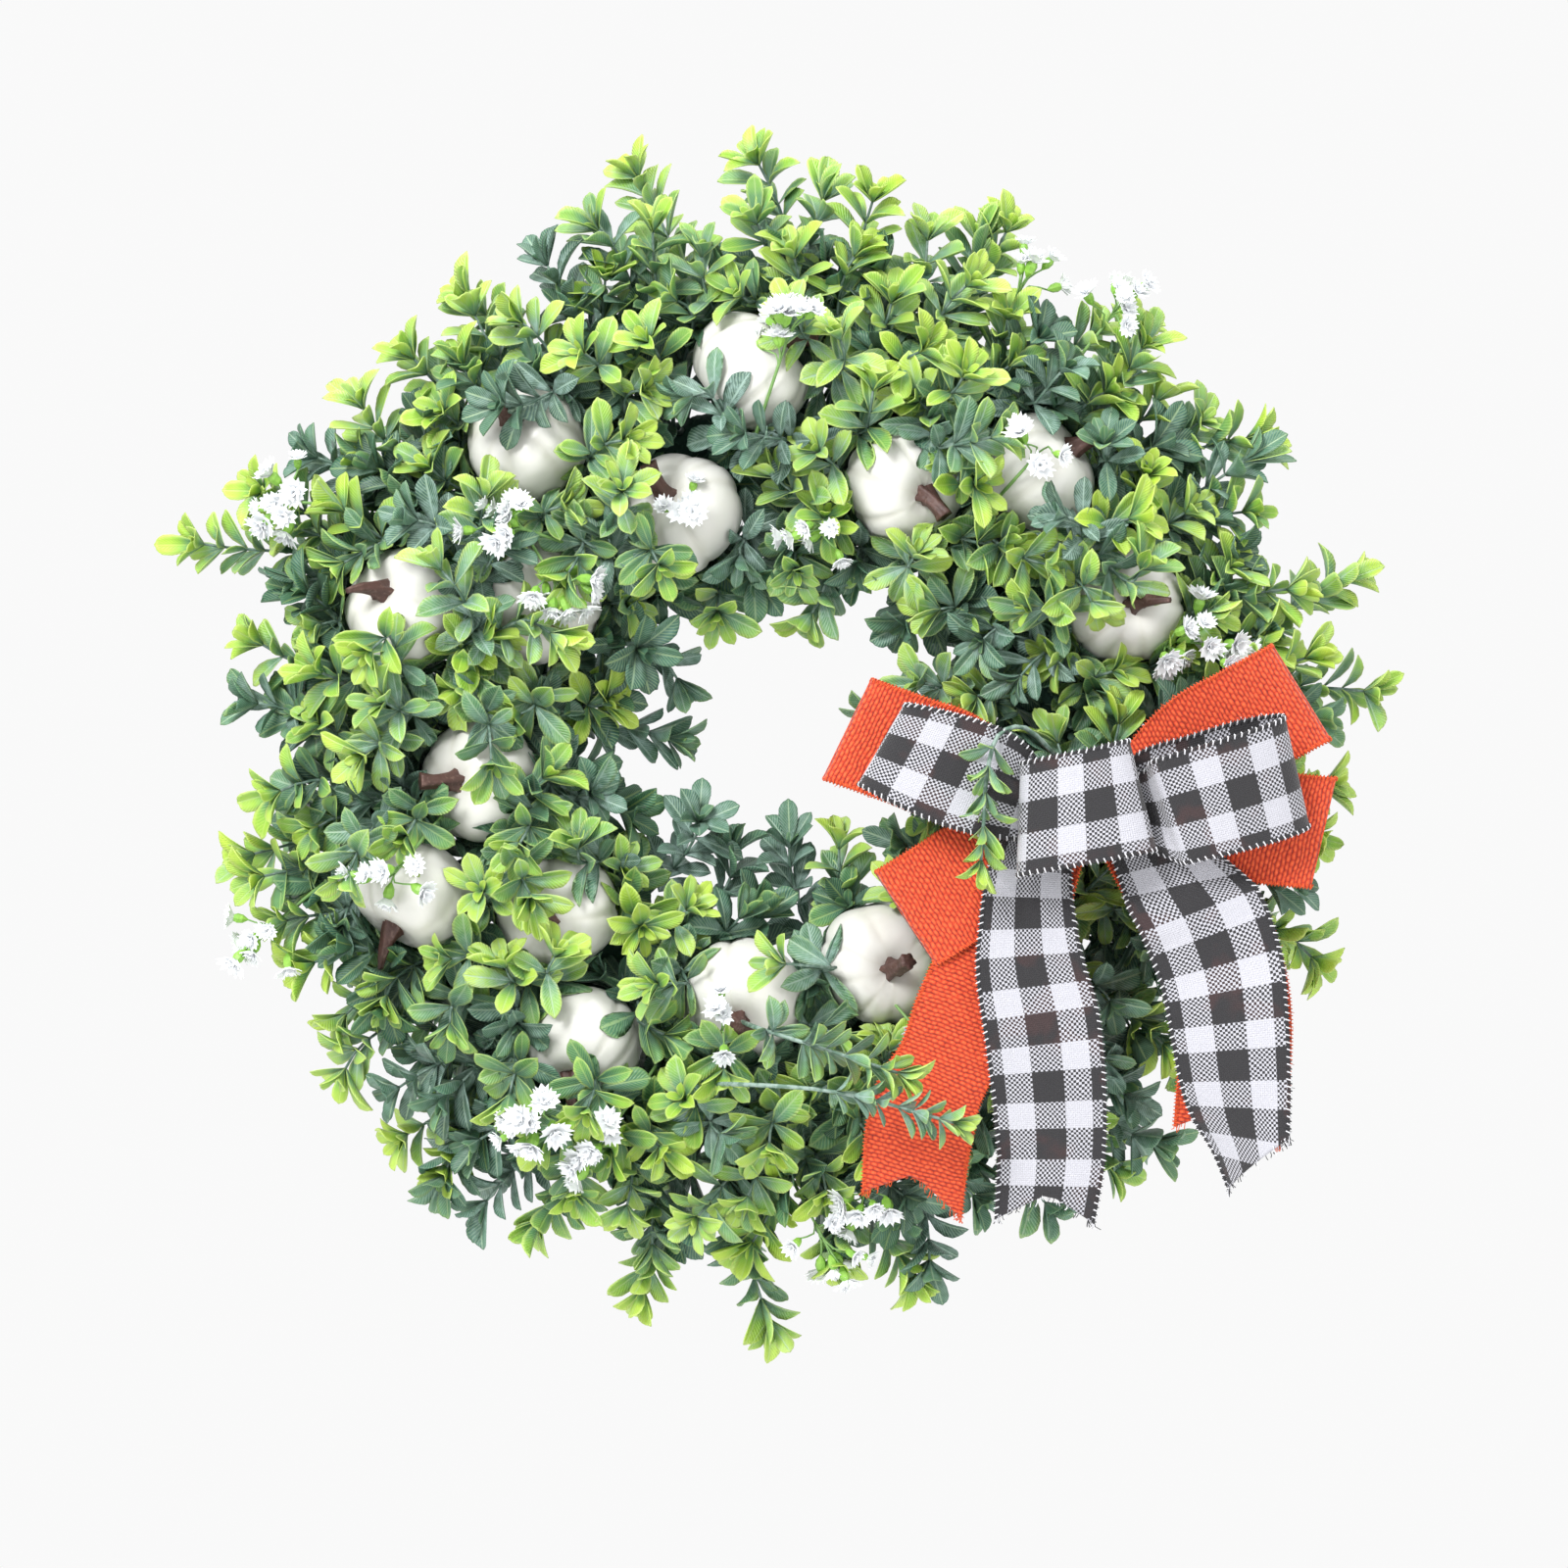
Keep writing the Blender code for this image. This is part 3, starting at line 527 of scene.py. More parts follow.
def makeStalk(number, centre, crown):
    s = stalkShape
    bendTo = direction(stalkBends[number - 1])
    side = (bendTo - crown * bendTo.dot(crown)).normalized()
    draw = np.random.default_rng(900 + number)
    length = s["length"] * draw.uniform(0.92, 1.12) * (1.2 if number in pointedStalks else 1.0)
    bend = s["bend"] * draw.uniform(0.8, 1.25)
    share = np.linspace(0, 1, s["rings"])
    turn = bend * share
    run = length / bend
    foot = centre + crown * (pumpkinShape["height"] / 2 - pumpkinShape["dimple"] - 0.0012)
    path = (np.array(foot) + np.outer(run * np.sin(turn), np.array(crown))
            + np.outer(run * (1 - np.cos(turn)), np.array(side)))
    tangent = np.outer(np.cos(turn), np.array(crown)) + np.outer(np.sin(turn), np.array(side))
    across = np.array(side.cross(crown))
    over = np.cross(tangent, across)
    radius = s["neck"] + (s["foot"] - s["neck"]) * (1 - share) ** 3.2 + (s["end"] - s["neck"]) * share ** 5
    if number in pointedStalks:
        radius = s["point"] + (s["foot"] - s["point"]) * (1 - share) ** 1.15 * (0.72 + 0.28 * (1 - share) ** 3)
    angles = np.arange(s["sides"]) * math.tau / s["sides"]
    twist = share[:, None] * 0.9
    ridge = (1 + 0.16 * np.cos(s["ridges"] * (angles[None, :] + twist))
             + 0.28 * (1 - share[:, None]) ** 4 * np.cos(s["ridges"] * angles[None, :]))
    wide = radius[:, None] * ridge
    points = (path[:, None] + wide[..., None] * (across[None, None] * np.cos(angles)[None, :, None]
                                                 + over[:, None] * np.sin(angles)[None, :, None]))
    points = points.reshape(-1, 3)
    faces = gridFaces(s["rings"], s["sides"], True)
    end = (s["rings"] - 1) * s["sides"]
    hollow = path[-1] - tangent[-1] * 0.0008
    points = np.vstack([points, hollow, path[0]])
    tip, root = len(points) - 2, len(points) - 1
    for j in range(s["sides"]):
        k = (j + 1) % s["sides"]
        faces.append((end + j, end + k, tip))
        faces.append((k, j, root))
    piece = newPiece(f"pumpkin_stem_{number:02d}_stalk", points, faces, [stalkMaterial])
    mendMesh(piece)
    settle(piece, "wreath", f"pumpkin_stem_{number:02d}")


pumpkinCentres = [makePumpkin(number + 1) for number in range(pumpkinShape["count"])]
pumpkinSpots = np.array([list(c) for c in pumpkinCentres])
print("pumpkins and stalks made")


# How far along the leaf each row is, and half its width there, as shares of the leaf's length and width.
leafShape = {
    "along": (0.0, 0.14, 0.36, 0.60, 0.79, 0.91, 0.97, 1.0),
    "half": (0.05, 0.17, 0.39, 0.50, 0.475, 0.37, 0.245, 0.09),
    "columns": 5, "thickness": 0.030, "variants": 8,
}


# A leaf one unit long: across is x, along is y, up is z. Each variant is cupped and curled its own way.
def leafTemplate(variant):
    s = leafShape
    draw = np.random.default_rng(70 + variant)
    fold = draw.uniform(0.10, 0.42)
    curl = draw.uniform(-0.10, 0.34)
    lean = draw.uniform(-0.10, 0.10)
    u, half = np.array(s["along"]), np.array(s["half"])
    v = np.linspace(-1, 1, s["columns"])
    across = half[:, None] * v[None, :]
    along = u[:, None] - 0.035 * (v ** 2)[None, :] * (u[:, None] > 0.9)
    up = (fold * half[:, None] * np.abs(v)[None, :] ** 1.3 * 0.9 - curl * (u[:, None] - 0.15) ** 2
          + lean * across)
    thick = s["thickness"] * (1 - 0.55 * np.abs(v)[None, :] ** 2) * np.ones_like(u)[:, None]
    top = np.stack([across, along, up + thick / 2], -1).reshape(-1, 3)
    bottom = np.stack([across, along, up - thick / 2], -1).reshape(-1, 3)
    places = np.stack([np.repeat(u, len(v)), np.tile(v, len(u))], -1)
    return np.vstack([top, bottom]), np.array(sheetFaces(len(u), len(v))), np.vstack([places, places])


leafTemplates = [leafTemplate(variant) for variant in range(leafShape["variants"])]


# Leaves waiting to be made: foot, direction, upper side, length, width, tone, frost and shape of each.
class LeafBundle:
    def __init__(self):
        self.rows = []

    def add(self, foot, way, up, length, width, tone, frost):
        variant = int(rng.integers(leafShape["variants"]))
        self.rows.append((*foot, *way, *up, length, width, tone, frost, variant))

    def finish(self, name, guard):
        rows = np.array(self.rows)
        allPoints, allFaces, tones, frosts, spots = [], [], [], [], []
        start = 0
        for variant, (shape, faces, places) in enumerate(leafTemplates):
            mine = rows[rows[:, 13] == variant]
            if not len(mine):
                continue
            foot, way = mine[:, 0:3], unit(mine[:, 3:6])
            side = unit(np.cross(way, mine[:, 6:9]))
            up = np.cross(side, way)
            length, width = mine[:, 9:10], mine[:, 10:11]
            points = (foot[:, None] + side[:, None] * (shape[None, :, 0:1] * width[:, None])
                      + way[:, None] * (shape[None, :, 1:2] * length[:, None])
                      + up[:, None] * (shape[None, :, 2:3] * length[:, None]))
            points, kept = guard(points)
            mine, points = mine[kept], points[kept]
            count, size = len(mine), len(shape)
            allPoints.append(points.reshape(-1, 3))
            offsets = (start + np.arange(count) * size)[:, None, None]
            allFaces.append((faces[None] + offsets).reshape(-1, 4))
            tones.append(np.repeat(mine[:, 11], size))
            frosts.append(np.repeat(mine[:, 12], size))
            spots.append(np.tile(places, (count, 1)))
            start += count * size
        spots = np.vstack(spots)
        values = {"tone": np.concatenate(tones), "frost": np.concatenate(frosts),
                  "along": spots[:, 0], "across": spots[:, 1]}
        return newPiece(name, np.vstack(allPoints), np.vstack(allFaces), [leafMaterial], values)


# Leaves stay this far from a pumpkin's middle, and this far in front of the door at most and at least.
guardSize = {"pumpkin": 0.0234, "buried": 0.0185, "bowFront": 0.0715, "farFront": 0.100, "back": 0.0005}
# How far the bow reaches from its knot, as seen from the front.
bowRoom = {"halfWidth": 0.100, "below": 0.156, "above": 0.064}
# The room that the hanging loop sweeps as it folds to the front.
hangerRoom = {
    "halfWidth": 0.0115, "bottom": hangerLow.z - 0.004, "top": hangerHigh.z + 0.005, "forward": 0.0225,
    "clear": 0.0015,
}


def inHangerRoom(points):
    h = hangerRoom
    x, forward, z = points[..., 0], ringCentre.y - points[..., 1], points[..., 2]
    return (abs(x) < h["halfWidth"]) & (z > h["bottom"]) & (z < h["top"]) & (forward < h["forward"])


def behindBow(x, z):
    across, up = x - knotCentre.x, z - knotCentre.z
    return (abs(across) < bowRoom["halfWidth"]) & (up > -bowRoom["below"]) & (up < bowRoom["above"])


def clearHanger(path):
    path[inHangerRoom(path), 1] = ringCentre.y - hangerRoom["forward"] - hangerRoom["clear"]
    return path


# Pushes leaf points out of the pumpkins. Leaves that start deep inside one, stand up into the bow or come in
# the hanging loop's way are left out.
def leafGuard(points):
    kept = np.ones(len(points), bool)
    for spot in pumpkinSpots:
        away = points - spot
        reach = np.linalg.norm(away, axis=-1)
        kept &= reach[:, :5].min(axis=1) > guardSize["buried"]
        inside = reach < guardSize["pumpkin"]
        push = np.where(inside, guardSize["pumpkin"] / np.maximum(reach, 1e-6), 1.0)
        points = spot + away * push[..., None]
    forward = ringCentre.y - points[..., 1]
    limit = np.where(behindBow(points[..., 0], points[..., 2]), guardSize["bowFront"], guardSize["farFront"])
    kept &= (forward < limit).all(axis=1)
    kept &= (forward > guardSize["back"]).all(axis=1)
    kept &= ~inHangerRoom(points).any(axis=1)
    return points, kept


def anySide(axis):
    side = np.cross(axis, rng.normal(size=3))
    return side / max(np.linalg.norm(side), 1e-9)


def turnAbout(vector, axis, angle):
    axis = axis / np.linalg.norm(axis)
    return (vector * math.cos(angle) + np.cross(axis, vector) * math.sin(angle)
            + axis * np.dot(axis, vector) * (1 - math.cos(angle)))


sprayHabit = {
    "whorlSpacing": 0.0080, "leafLength": (0.0130, 0.0190), "leafRatio": (0.36, 0.50), "leafyShare": 0.70,
}
towardViewer = np.array([0.0, -1.0, 0.0])


# Leaves in whorls along a twig, dark at its foot and bright in the rosette at its tip.
def leafTwig(leaves, path, tone, frost, size=1.0, narrow=1.0, most=9):
    path = np.asarray(path)
    steps = np.linalg.norm(np.diff(path, axis=0), axis=1)
    travelled = np.concatenate([[0], np.cumsum(steps)])
    total = travelled[-1]
    spacing = sprayHabit["whorlSpacing"] * size
    roll = rng.uniform(0, math.tau)
    for w in range(most):
        at = total - w * spacing * rng.uniform(0.9, 1.1)
        if at < total * (1 - sprayHabit["leafyShare"]):
            break
        foot = np.array([np.interp(at, travelled, path[:, k]) for k in range(3)])
        ahead = np.array([np.interp(min(at + 0.002, total), travelled, path[:, k]) for k in range(3)])
        behind = np.array([np.interp(at - 0.002, travelled, path[:, k]) for k in range(3)])
        axis = unit(ahead - behind)
        side = anySide(axis)
        tip = w == 0
        count = int(rng.integers(6, 8)) if tip else int(rng.integers(3, 5))
        roll += rng.uniform(0.6, 1.2)
        for j in range(count):
            spin = roll + j * math.tau / count + rng.uniform(-0.25, 0.25)
            outward = turnAbout(side, axis, spin)
            facing = max(0.0, float(np.dot(axis, towardViewer)))
            spread = math.radians((rng.uniform(20, 50) if tip else rng.uniform(34, 64)) + 28 * facing)
            way = axis * math.cos(spread) + outward * math.sin(spread)
            way = unit(way + towardViewer * rng.uniform(-0.05, 0.22) + rng.normal(size=3) * 0.08)
            up = axis - way * np.dot(axis, way)
            up = unit(up + towardViewer * 0.50 + rng.normal(size=3) * 0.14)
            length = rng.uniform(*sprayHabit["leafLength"]) * size * (rng.uniform(0.8, 1.0) if tip else 1.0)
            width = length * rng.uniform(*sprayHabit["leafRatio"]) * narrow
            age = min(1.0, w / 3.5)
            leafTone = np.clip(tone - 0.40 * age + rng.normal() * 0.10, 0.02, 1.0)
            leafFrost = np.clip(frost * (0.5 + 0.5 * age) + rng.normal() * 0.10, 0, 1)
            leaves.add(foot + outward * 0.0005, way, up, length, width, leafTone, leafFrost)
        if tip:
            for j in range(3):
                outward = turnAbout(side, axis, roll + 1 + j * math.tau / 3)
                way = unit(axis * 0.9 + outward * 0.5)
                up = unit(axis * 0.2 - outward + towardViewer * 0.2)
                length = rng.uniform(0.006, 0.009) * size
                leaves.add(foot, way, up, length, length * 0.45, np.clip(tone + 0.10, 0, 1), frost * 0.3)


# A stem from its root to its tip that sets off one way and arrives another, and goes round the pumpkins.
def stemCurve(root, startWay, tip, endWay, count=12, clear=0.0255):
    root, tip = np.array(root, float), np.array(tip, float)
    reach = np.linalg.norm(tip - root)
    first, last = unit(np.array(startWay, float)) * reach * 1.1, unit(np.array(endWay, float)) * reach * 0.9
    t = np.linspace(0, 1, count)[:, None]
    path = ((2 * t ** 3 - 3 * t ** 2 + 1) * root + (t ** 3 - 2 * t ** 2 + t) * first
            + (3 * t ** 2 - 2 * t ** 3) * tip + (t ** 3 - t ** 2) * last)
    for spot in pumpkinSpots:
        away = path - spot
        distance = np.linalg.norm(away, axis=1, keepdims=True)
        push = np.where(distance < clear, clear / np.maximum(distance, 1e-6), 1.0)
        push[0] = 1.0
        path = spot + away * push
    return path


# How far in front of the door the foliage comes, by its distance from the ring's middle.
foliageProfile = np.array(((0.036, 0.030), (0.060, 0.046), (0.080, 0.064), (0.100, 0.073), (0.135, 0.073),
                           (0.165, 0.062), (0.195, 0.042), (0.225, 0.026)))
foliageHabit = {
    "spacing": 0.0170, "outerSpacing": 0.0175, "inner": 0.038, "outer": 0.200, "fillerSpacing": 0.019,
    "fillerInner": 0.060, "fillerOuter": 0.178, "backFillers": 54, "darts": 9000,
}
# How much of each pumpkin shows between the leaves.
pumpkinShows = (0.80, 0.85, 0.95, 0.70, 0.25, 0.80, 0.65, 0.75, 0.25, 0.50, 0.45, 0.65, 0.80, 0.90)
# Sprays that stand out beyond the rest: radius and angle of their tips.
longSprays = (
    (0.212, 92), (0.214, 104), (0.204, 66), (0.199, 49), (0.204, 33), (0.216, 16), (0.216, 5), (0.210, -22),
    (0.212, 269), (0.206, 256), (0.196, 232), (0.224, 161), (0.209, 154), (0.197, 125), (0.200, 284),
    (0.197, 192),
)


# How far out the tips of the other sprays reach, uneven round the wreath.
def outerReach(turn):
    return (0.1955 + 0.0045 * math.sin(5 * turn + 0.6) + 0.004 * math.sin(9 * turn + 2.1)
            + 0.003 * math.sin(17 * turn) + 0.004 * math.cos(turn) ** 2)


# Places for the tips of sprays, kept a spacing apart.
def scatterTips(inner, outer, spacing, outerSpacing):
    found = []
    for _ in range(foliageHabit["darts"]):
        radius = math.sqrt(rng.uniform(inner ** 2, outer ** 2))
        turn = rng.uniform(0, math.tau)
        if radius > outerReach(turn):
            continue
        spot = (radius * math.cos(turn), radius * math.sin(turn))
        room = spacing if radius < 0.15 else outerSpacing
        if all((spot[0] - x) ** 2 + (spot[1] - z) ** 2 > room ** 2 for x, z, _, _ in found):
            found.append((*spot, radius, math.degrees(turn) % 360))
    return found


# How likely a spray that would cover a pumpkin is left out.
def coversPumpkin(x, z):
    radius = pumpkinShape["width"] / 2
    for spot, shows in zip(pumpkinSpots, pumpkinShows):
        distance = math.hypot(ringCentre.x + x - spot[0], ringCentre.z + z - spot[2])
        if distance < radius:
            return shows * (1.25 - 0.4 * distance / radius)
    return None


# Grows one spray to a tip place from the nearest part of the ring.
def sprayTo(leaves, twigs, radius, degrees, forward, tone, frost, size=1.0, narrow=1.0, most=9):
    swing = rng.uniform(-14, 14)
    tip = place(radius, degrees, forward)
    if radius > ringOuter + 0.012:
        rootRadius, way, lift = ringOuter - 0.006, degrees - swing, rng.uniform(5, 40)
        rootForward = rng.uniform(0.004, 0.022)
        if radius > 0.175:
            endWay = direction(degrees + rng.uniform(-34, 34), rng.uniform(-8, 28))
        else:
            endWay = direction(degrees + rng.uniform(-65, 65), rng.uniform(-5, 34))
    elif radius < ringInner - 0.006:
        rootRadius, way, lift = ringInner + 0.006, degrees + 180 - swing, rng.uniform(5, 40)
        rootForward = rng.uniform(0.004, 0.022)
        endWay = direction(degrees + 180 + rng.uniform(-45, 45), rng.uniform(-5, 40))
    else:
        way = rng.uniform(0, 360)
        sideways = place(radius, degrees, 0) - direction(way, 0) * rng.uniform(0.016, 0.040) - ringCentre
        rootRadius = min(max(math.hypot(sideways.x, sideways.z), ringInner + 0.004), ringOuter - 0.004)
        swing = (degrees - math.degrees(math.atan2(sideways.z, sideways.x)) + 180) % 360 - 180
        swing /= 0.6
        rootForward, lift = ringDepth - 0.002, rng.uniform(50, 80)
        endLean = rng.uniform(-2, 32) if rng.random() < 0.78 else rng.uniform(42, 72)
        endWay = direction(way + rng.uniform(-30, 30), endLean)
    root = place(rootRadius, degrees - swing * 0.6, rootForward)
    path = clearHanger(stemCurve(root, direction(way, lift), tip, endWay))
    twigs.add(path, np.linspace(0.0009, 0.0005, len(path)) * size, 0.15 + 0.45 * frost)
    leafTwig(leaves, path, tone, frost, size, narrow, most)


# Tone and frost of a spray: bright tips outside and at the top, more dark ones low and near the middle.
def sprayLook(radius, degrees):
    low = 0.5 - 0.5 * math.sin(math.radians(degrees))
    darkShare = 0.14 + 0.16 * low + (0.22 if radius < 0.075 else 0)
    if rng.random() < darkShare:
        return rng.uniform(0.12, 0.45), rng.uniform(0.60, 1.25)
    return rng.uniform(0.66, 1.06), rng.uniform(0.15, 0.80)


def makeFoliage():
    groups = {}

    def grow(radius, degrees, forward, tone, frost, **habit):
        kind = "inner" if radius < 0.080 else "outer" if radius > 0.142 else "front"
        start, step = (30, 120) if kind == "inner" else (90, 45)
        bunch = f"boxwood_{kind}_{int((degrees - start) % 360 // step) + 1}"
        leaves, twigs = groups.setdefault(bunch, (LeafBundle(), TubeBundle(5)))
        sprayTo(leaves, twigs, radius, degrees, forward, tone, frost, **habit)

    h = foliageHabit
    for x, z, radius, degrees in scatterTips(h["inner"], h["outer"], h["spacing"], h["outerSpacing"]):
        shows = coversPumpkin(x, z)
        forward = np.interp(radius, foliageProfile[:, 0], foliageProfile[:, 1]) + rng.uniform(-0.012, 0.005)
        if shows is not None:
            if rng.random() < shows:
                continue
            forward = rng.uniform(0.074, 0.084)
        if behindBow(ringCentre.x + x, ringCentre.z + z):
            forward = min(forward, rng.uniform(0.050, 0.064))
        if radius < 0.062 and rng.random() < 0.45:
            continue
        grow(radius, degrees, forward, *sprayLook(radius, degrees))
    for radius, degrees in longSprays:
        grow(radius, degrees, rng.uniform(0.018, 0.034), rng.uniform(0.8, 1.05), rng.uniform(0.2, 0.6))
    filler = dict(size=1.1, narrow=1.1, most=3)
    for _, _, radius, degrees in scatterTips(h["fillerInner"], h["fillerOuter"], h["fillerSpacing"],
                                             h["fillerSpacing"]):
        forward = rng.uniform(0.030, 0.050)
        grow(radius, degrees, forward, rng.uniform(0.05, 0.40), rng.uniform(0.2, 0.7), **filler)
    for k in range(h["backFillers"]):
        degrees, radius = (k + rng.uniform(0, 1)) * 360 / h["backFillers"], rng.uniform(0.136, 0.172)
        forward = rng.uniform(0.012, 0.020)
        grow(radius, degrees, forward, rng.uniform(0.05, 0.45), rng.uniform(0.2, 0.7), **filler)
    for key in sorted(groups):
        leaves, twigs = groups[key]
        foliage = leaves.finish(key + "_leaves", leafGuard)
        settle(foliage, "wreath", None if "front" in key else key)
        settle(twigs.finish(key + "_twigs", [twigMaterial]), "wreath")
    print("leaves grown", sum(len(leaves.rows) for leaves, _ in groups.values()))


makeFoliage()
print("boxwood sprays made")

# Sprigs in front of the bow: points as seen from the knot, in mm, size, tone and frost. The first is tucked in
# at the knot and turns with the bow; the others grow from the ring, over the left tails.
bowSprigs = {
    "boxwood_bow_sprig": dict(body="bow", size=0.74, tone=0.98, frost=0.40, most=8, path=(
        (-9, 20, 88), (-20, 30, 98), (-30, 27, 109), (-34, 12, 113), (-35, -4, 112), (-36, -18, 110))),
    "boxwood_tail_sprigs": dict(body="wreath", size=0.80, tone=0.98, frost=0.55, most=9, path=(
        (-124, -76, 58), (-116, -79, 92), (-94, -86, 107), (-66, -95, 111))),
    "boxwood_tail_sprig_low": dict(body="wreath", size=0.66, tone=0.90, frost=0.95, most=9, path=(
        (-131, -100, 58), (-127, -99, 95), (-88, -102, 112), (-46, -113, 113))),
}


def makeBowSprigs():
    for name, s in bowSprigs.items():
        leaves, twigs = LeafBundle(), TubeBundle(5)
        path = curvePoints([fromKnot(x / 1000, z / 1000, f / 1000) for x, z, f in s["path"]], 16)
        twigs.add(path, np.linspace(0.0010, 0.0006, len(path)), 0.6)
        leafTwig(leaves, path, s["tone"], s["frost"], s["size"], 0.95, s["most"])
        foliage = leaves.finish(name + "_leaves", lambda points: (points, np.ones(len(points), bool)))
        settle(foliage, s["body"])
        settle(twigs.finish(name + "_twig", [twigMaterial]), s["body"])


# The cup's profile is its height and width shares; the petal's outline runs round its three teeth.
floretShape = {
    "petals": 6, "length": 0.0036, "cup": 0.0036, "cupWidth": 0.0026, "sides": 7,
    "profile": ((0.0, 0.10), (0.35, 0.42), (0.75, 0.50), (1.0, 0.36)),
    "outline": ((-0.10, 0.0), (-0.34, 0.62), (-0.40, 1.0), (-0.20, 0.80), (0.0, 1.08),
                (0.20, 0.80), (0.40, 1.0), (0.34, 0.62), (0.10, 0.0)),
}


# A small toothed floret in a green cup, at a foot point and facing a way.
def addFloret(store, foot, way, size):
    s = floretShape
    points, faces, kinds = store
    foot, way = np.array(foot, float), unit(np.array(way, float))
    side = anySide(way)
    over = np.cross(way, side)
    start, rings, sides = len(points), len(s["profile"]), s["sides"]
    for height, wide in s["profile"]:
        for j in range(sides):
            turn = j * math.tau / sides
            points.append(foot + way * height * s["cup"] * size
                          + (side * math.cos(turn) + over * math.sin(turn)) * wide * s["cupWidth"] * size)
    faces.extend(gridFaces(rings, sides, True, start))
    faces.append(tuple(start + j for j in range(sides))[::-1])
    faces.append(tuple(start + (rings - 1) * sides + j for j in range(sides)))
    kinds.extend([1] * (sides * (rings - 1) + 2))
    mouth = foot + way * s["cup"] * size * 0.9
    spin = rng.uniform(0, math.tau)
    for layer, (spread, reach) in enumerate(((0.95, 1.0), (0.45, 0.8))):
        for j in range(s["petals"]):
            turn = spin + layer * 0.5 + j * math.tau / s["petals"] + rng.uniform(-0.2, 0.2)
            outward = side * math.cos(turn) + over * math.sin(turn)
            cross = np.cross(way, outward)
            tilt = spread + rng.uniform(-0.15, 0.2)
            run = way * math.cos(tilt) + outward * math.sin(tilt)
            length = s["length"] * reach * size * rng.uniform(0.85, 1.2)
            petal(points, faces, kinds, mouth, run, cross, length)


# A thin petal whose end is cut into teeth.
def petal(points, faces, kinds, foot, run, cross, length):
    normal = np.cross(run, cross)
    skin = normal * 0.00012
    start, count = len(points), len(floretShape["outline"])
    for face in (1, -1):
        for x, y in floretShape["outline"]:
            cup = normal * 0.12 * length * (abs(x) * 2) ** 2
            points.append(foot + cross * x * length + run * y * length + cup + skin * face)
    strips = [(0, 1, 7, 8), (1, 2, 3, 7), (3, 4, 5, 7), (5, 6, 7)]
    for strip in strips:
        faces.append(tuple(start + i for i in strip))
        faces.append(tuple(start + count + i for i in strip)[::-1])
    for i in range(count):
        j = (i + 1) % count
        faces.append((start + j, start + i, start + count + i, start + count + j))
    kinds.extend([0] * (len(strips) * 2 + count))


# The stems of each spray: angle and radius of the foot and of the head, how far in front, how many florets.
flowerPlaces = {
    "flower_spray_top": ((97, 0.100, 89, 0.142, 0.074, 9), (72, 0.100, 78, 0.080, 0.060, 6),
                         (120, 0.080, 113, 0.088, 0.062, 5)),
    "flower_spray_upper_left": ((134, 0.094, 141, 0.122, 0.076, 9), (139, 0.130, 144, 0.100, 0.074, 8),
                                (150, 0.170, 154, 0.198, 0.050, 10)),
    "flower_spray_lower_left": ((190, 0.118, 199, 0.145, 0.075, 7), (196, 0.165, 200, 0.196, 0.045, 8)),
    "flower_spray_bottom": ((240, 0.128, 237, 0.160, 0.074, 11), (250, 0.120, 246, 0.158, 0.066, 9),
                            (258, 0.118, 259, 0.103, 0.078, 4), (270, 0.150, 275, 0.180, 0.046, 8)),
    "flower_spray_lower_middle": ((290, 0.085, 296, 0.118, 0.066, 9), (287, 0.140, 281, 0.165, 0.050, 6)),
    "flower_spray_right": ((18, 0.120, 13, 0.158, 0.052, 8), (20, 0.128, 15, 0.141, 0.054, 6),
                           (48, 0.110, 48, 0.138, 0.078, 4)),
    "flower_spray_upper_right": ((52, 0.160, 52, 0.196, 0.050, 8), (60, 0.150, 62, 0.185, 0.046, 5)),
}


def makeFlowerSpray(name, stems):
    store = ([], [], [])
    twigs = TubeBundle(6)
    for footAngle, footRadius, headAngle, headRadius, forward, count in stems:
        foot = np.array(place(footRadius, footAngle, forward * 0.62))
        head = np.array(place(headRadius, headAngle, forward))
        middle = (foot + head) / 2 + towardViewer * 0.006
        path = curvePoints([foot, middle, head], 10)
        twigs.add(path, np.linspace(0.0008, 0.0005, 10), 0.5)
        axis = unit(head - middle)
        for j in range(count):
            spread = unit(axis * 0.8 + rng.normal(size=3) * 0.55 + towardViewer * 0.35)
            start = path[-1 - int(rng.integers(0, 3))]
            run = rng.uniform(0.006, 0.014)
            middle = start + axis * run * 0.3 + spread * run * 0.3
            branch = curvePoints([start, middle, start + spread * run], 5)
            twigs.add(branch, 0.00035, 0.8)
            addFloret(store, branch[-1], unit(spread + rng.normal(size=3) * 0.15), rng.uniform(1.15, 1.75))
    points, faces, kinds = store
    blooms = newPiece(name + "_blooms", points, faces, [petalMaterial, cupMaterial], kinds=kinds, smooth=False)
    settle(blooms, "wreath", name if name in frame["nodes"] else None)
    settle(twigs.finish(name + "_stems", [paleStemMaterial]), "wreath")


for flowerName, flowerStems in flowerPlaces.items():
    makeFlowerSpray(flowerName, flowerStems)
print("filler flowers made")


tapeWrap = {"turns": 46, "lift": 0.0007, "steps": 460, "corner": 0.009, "foot": 0.0003, "back": 0.0009}


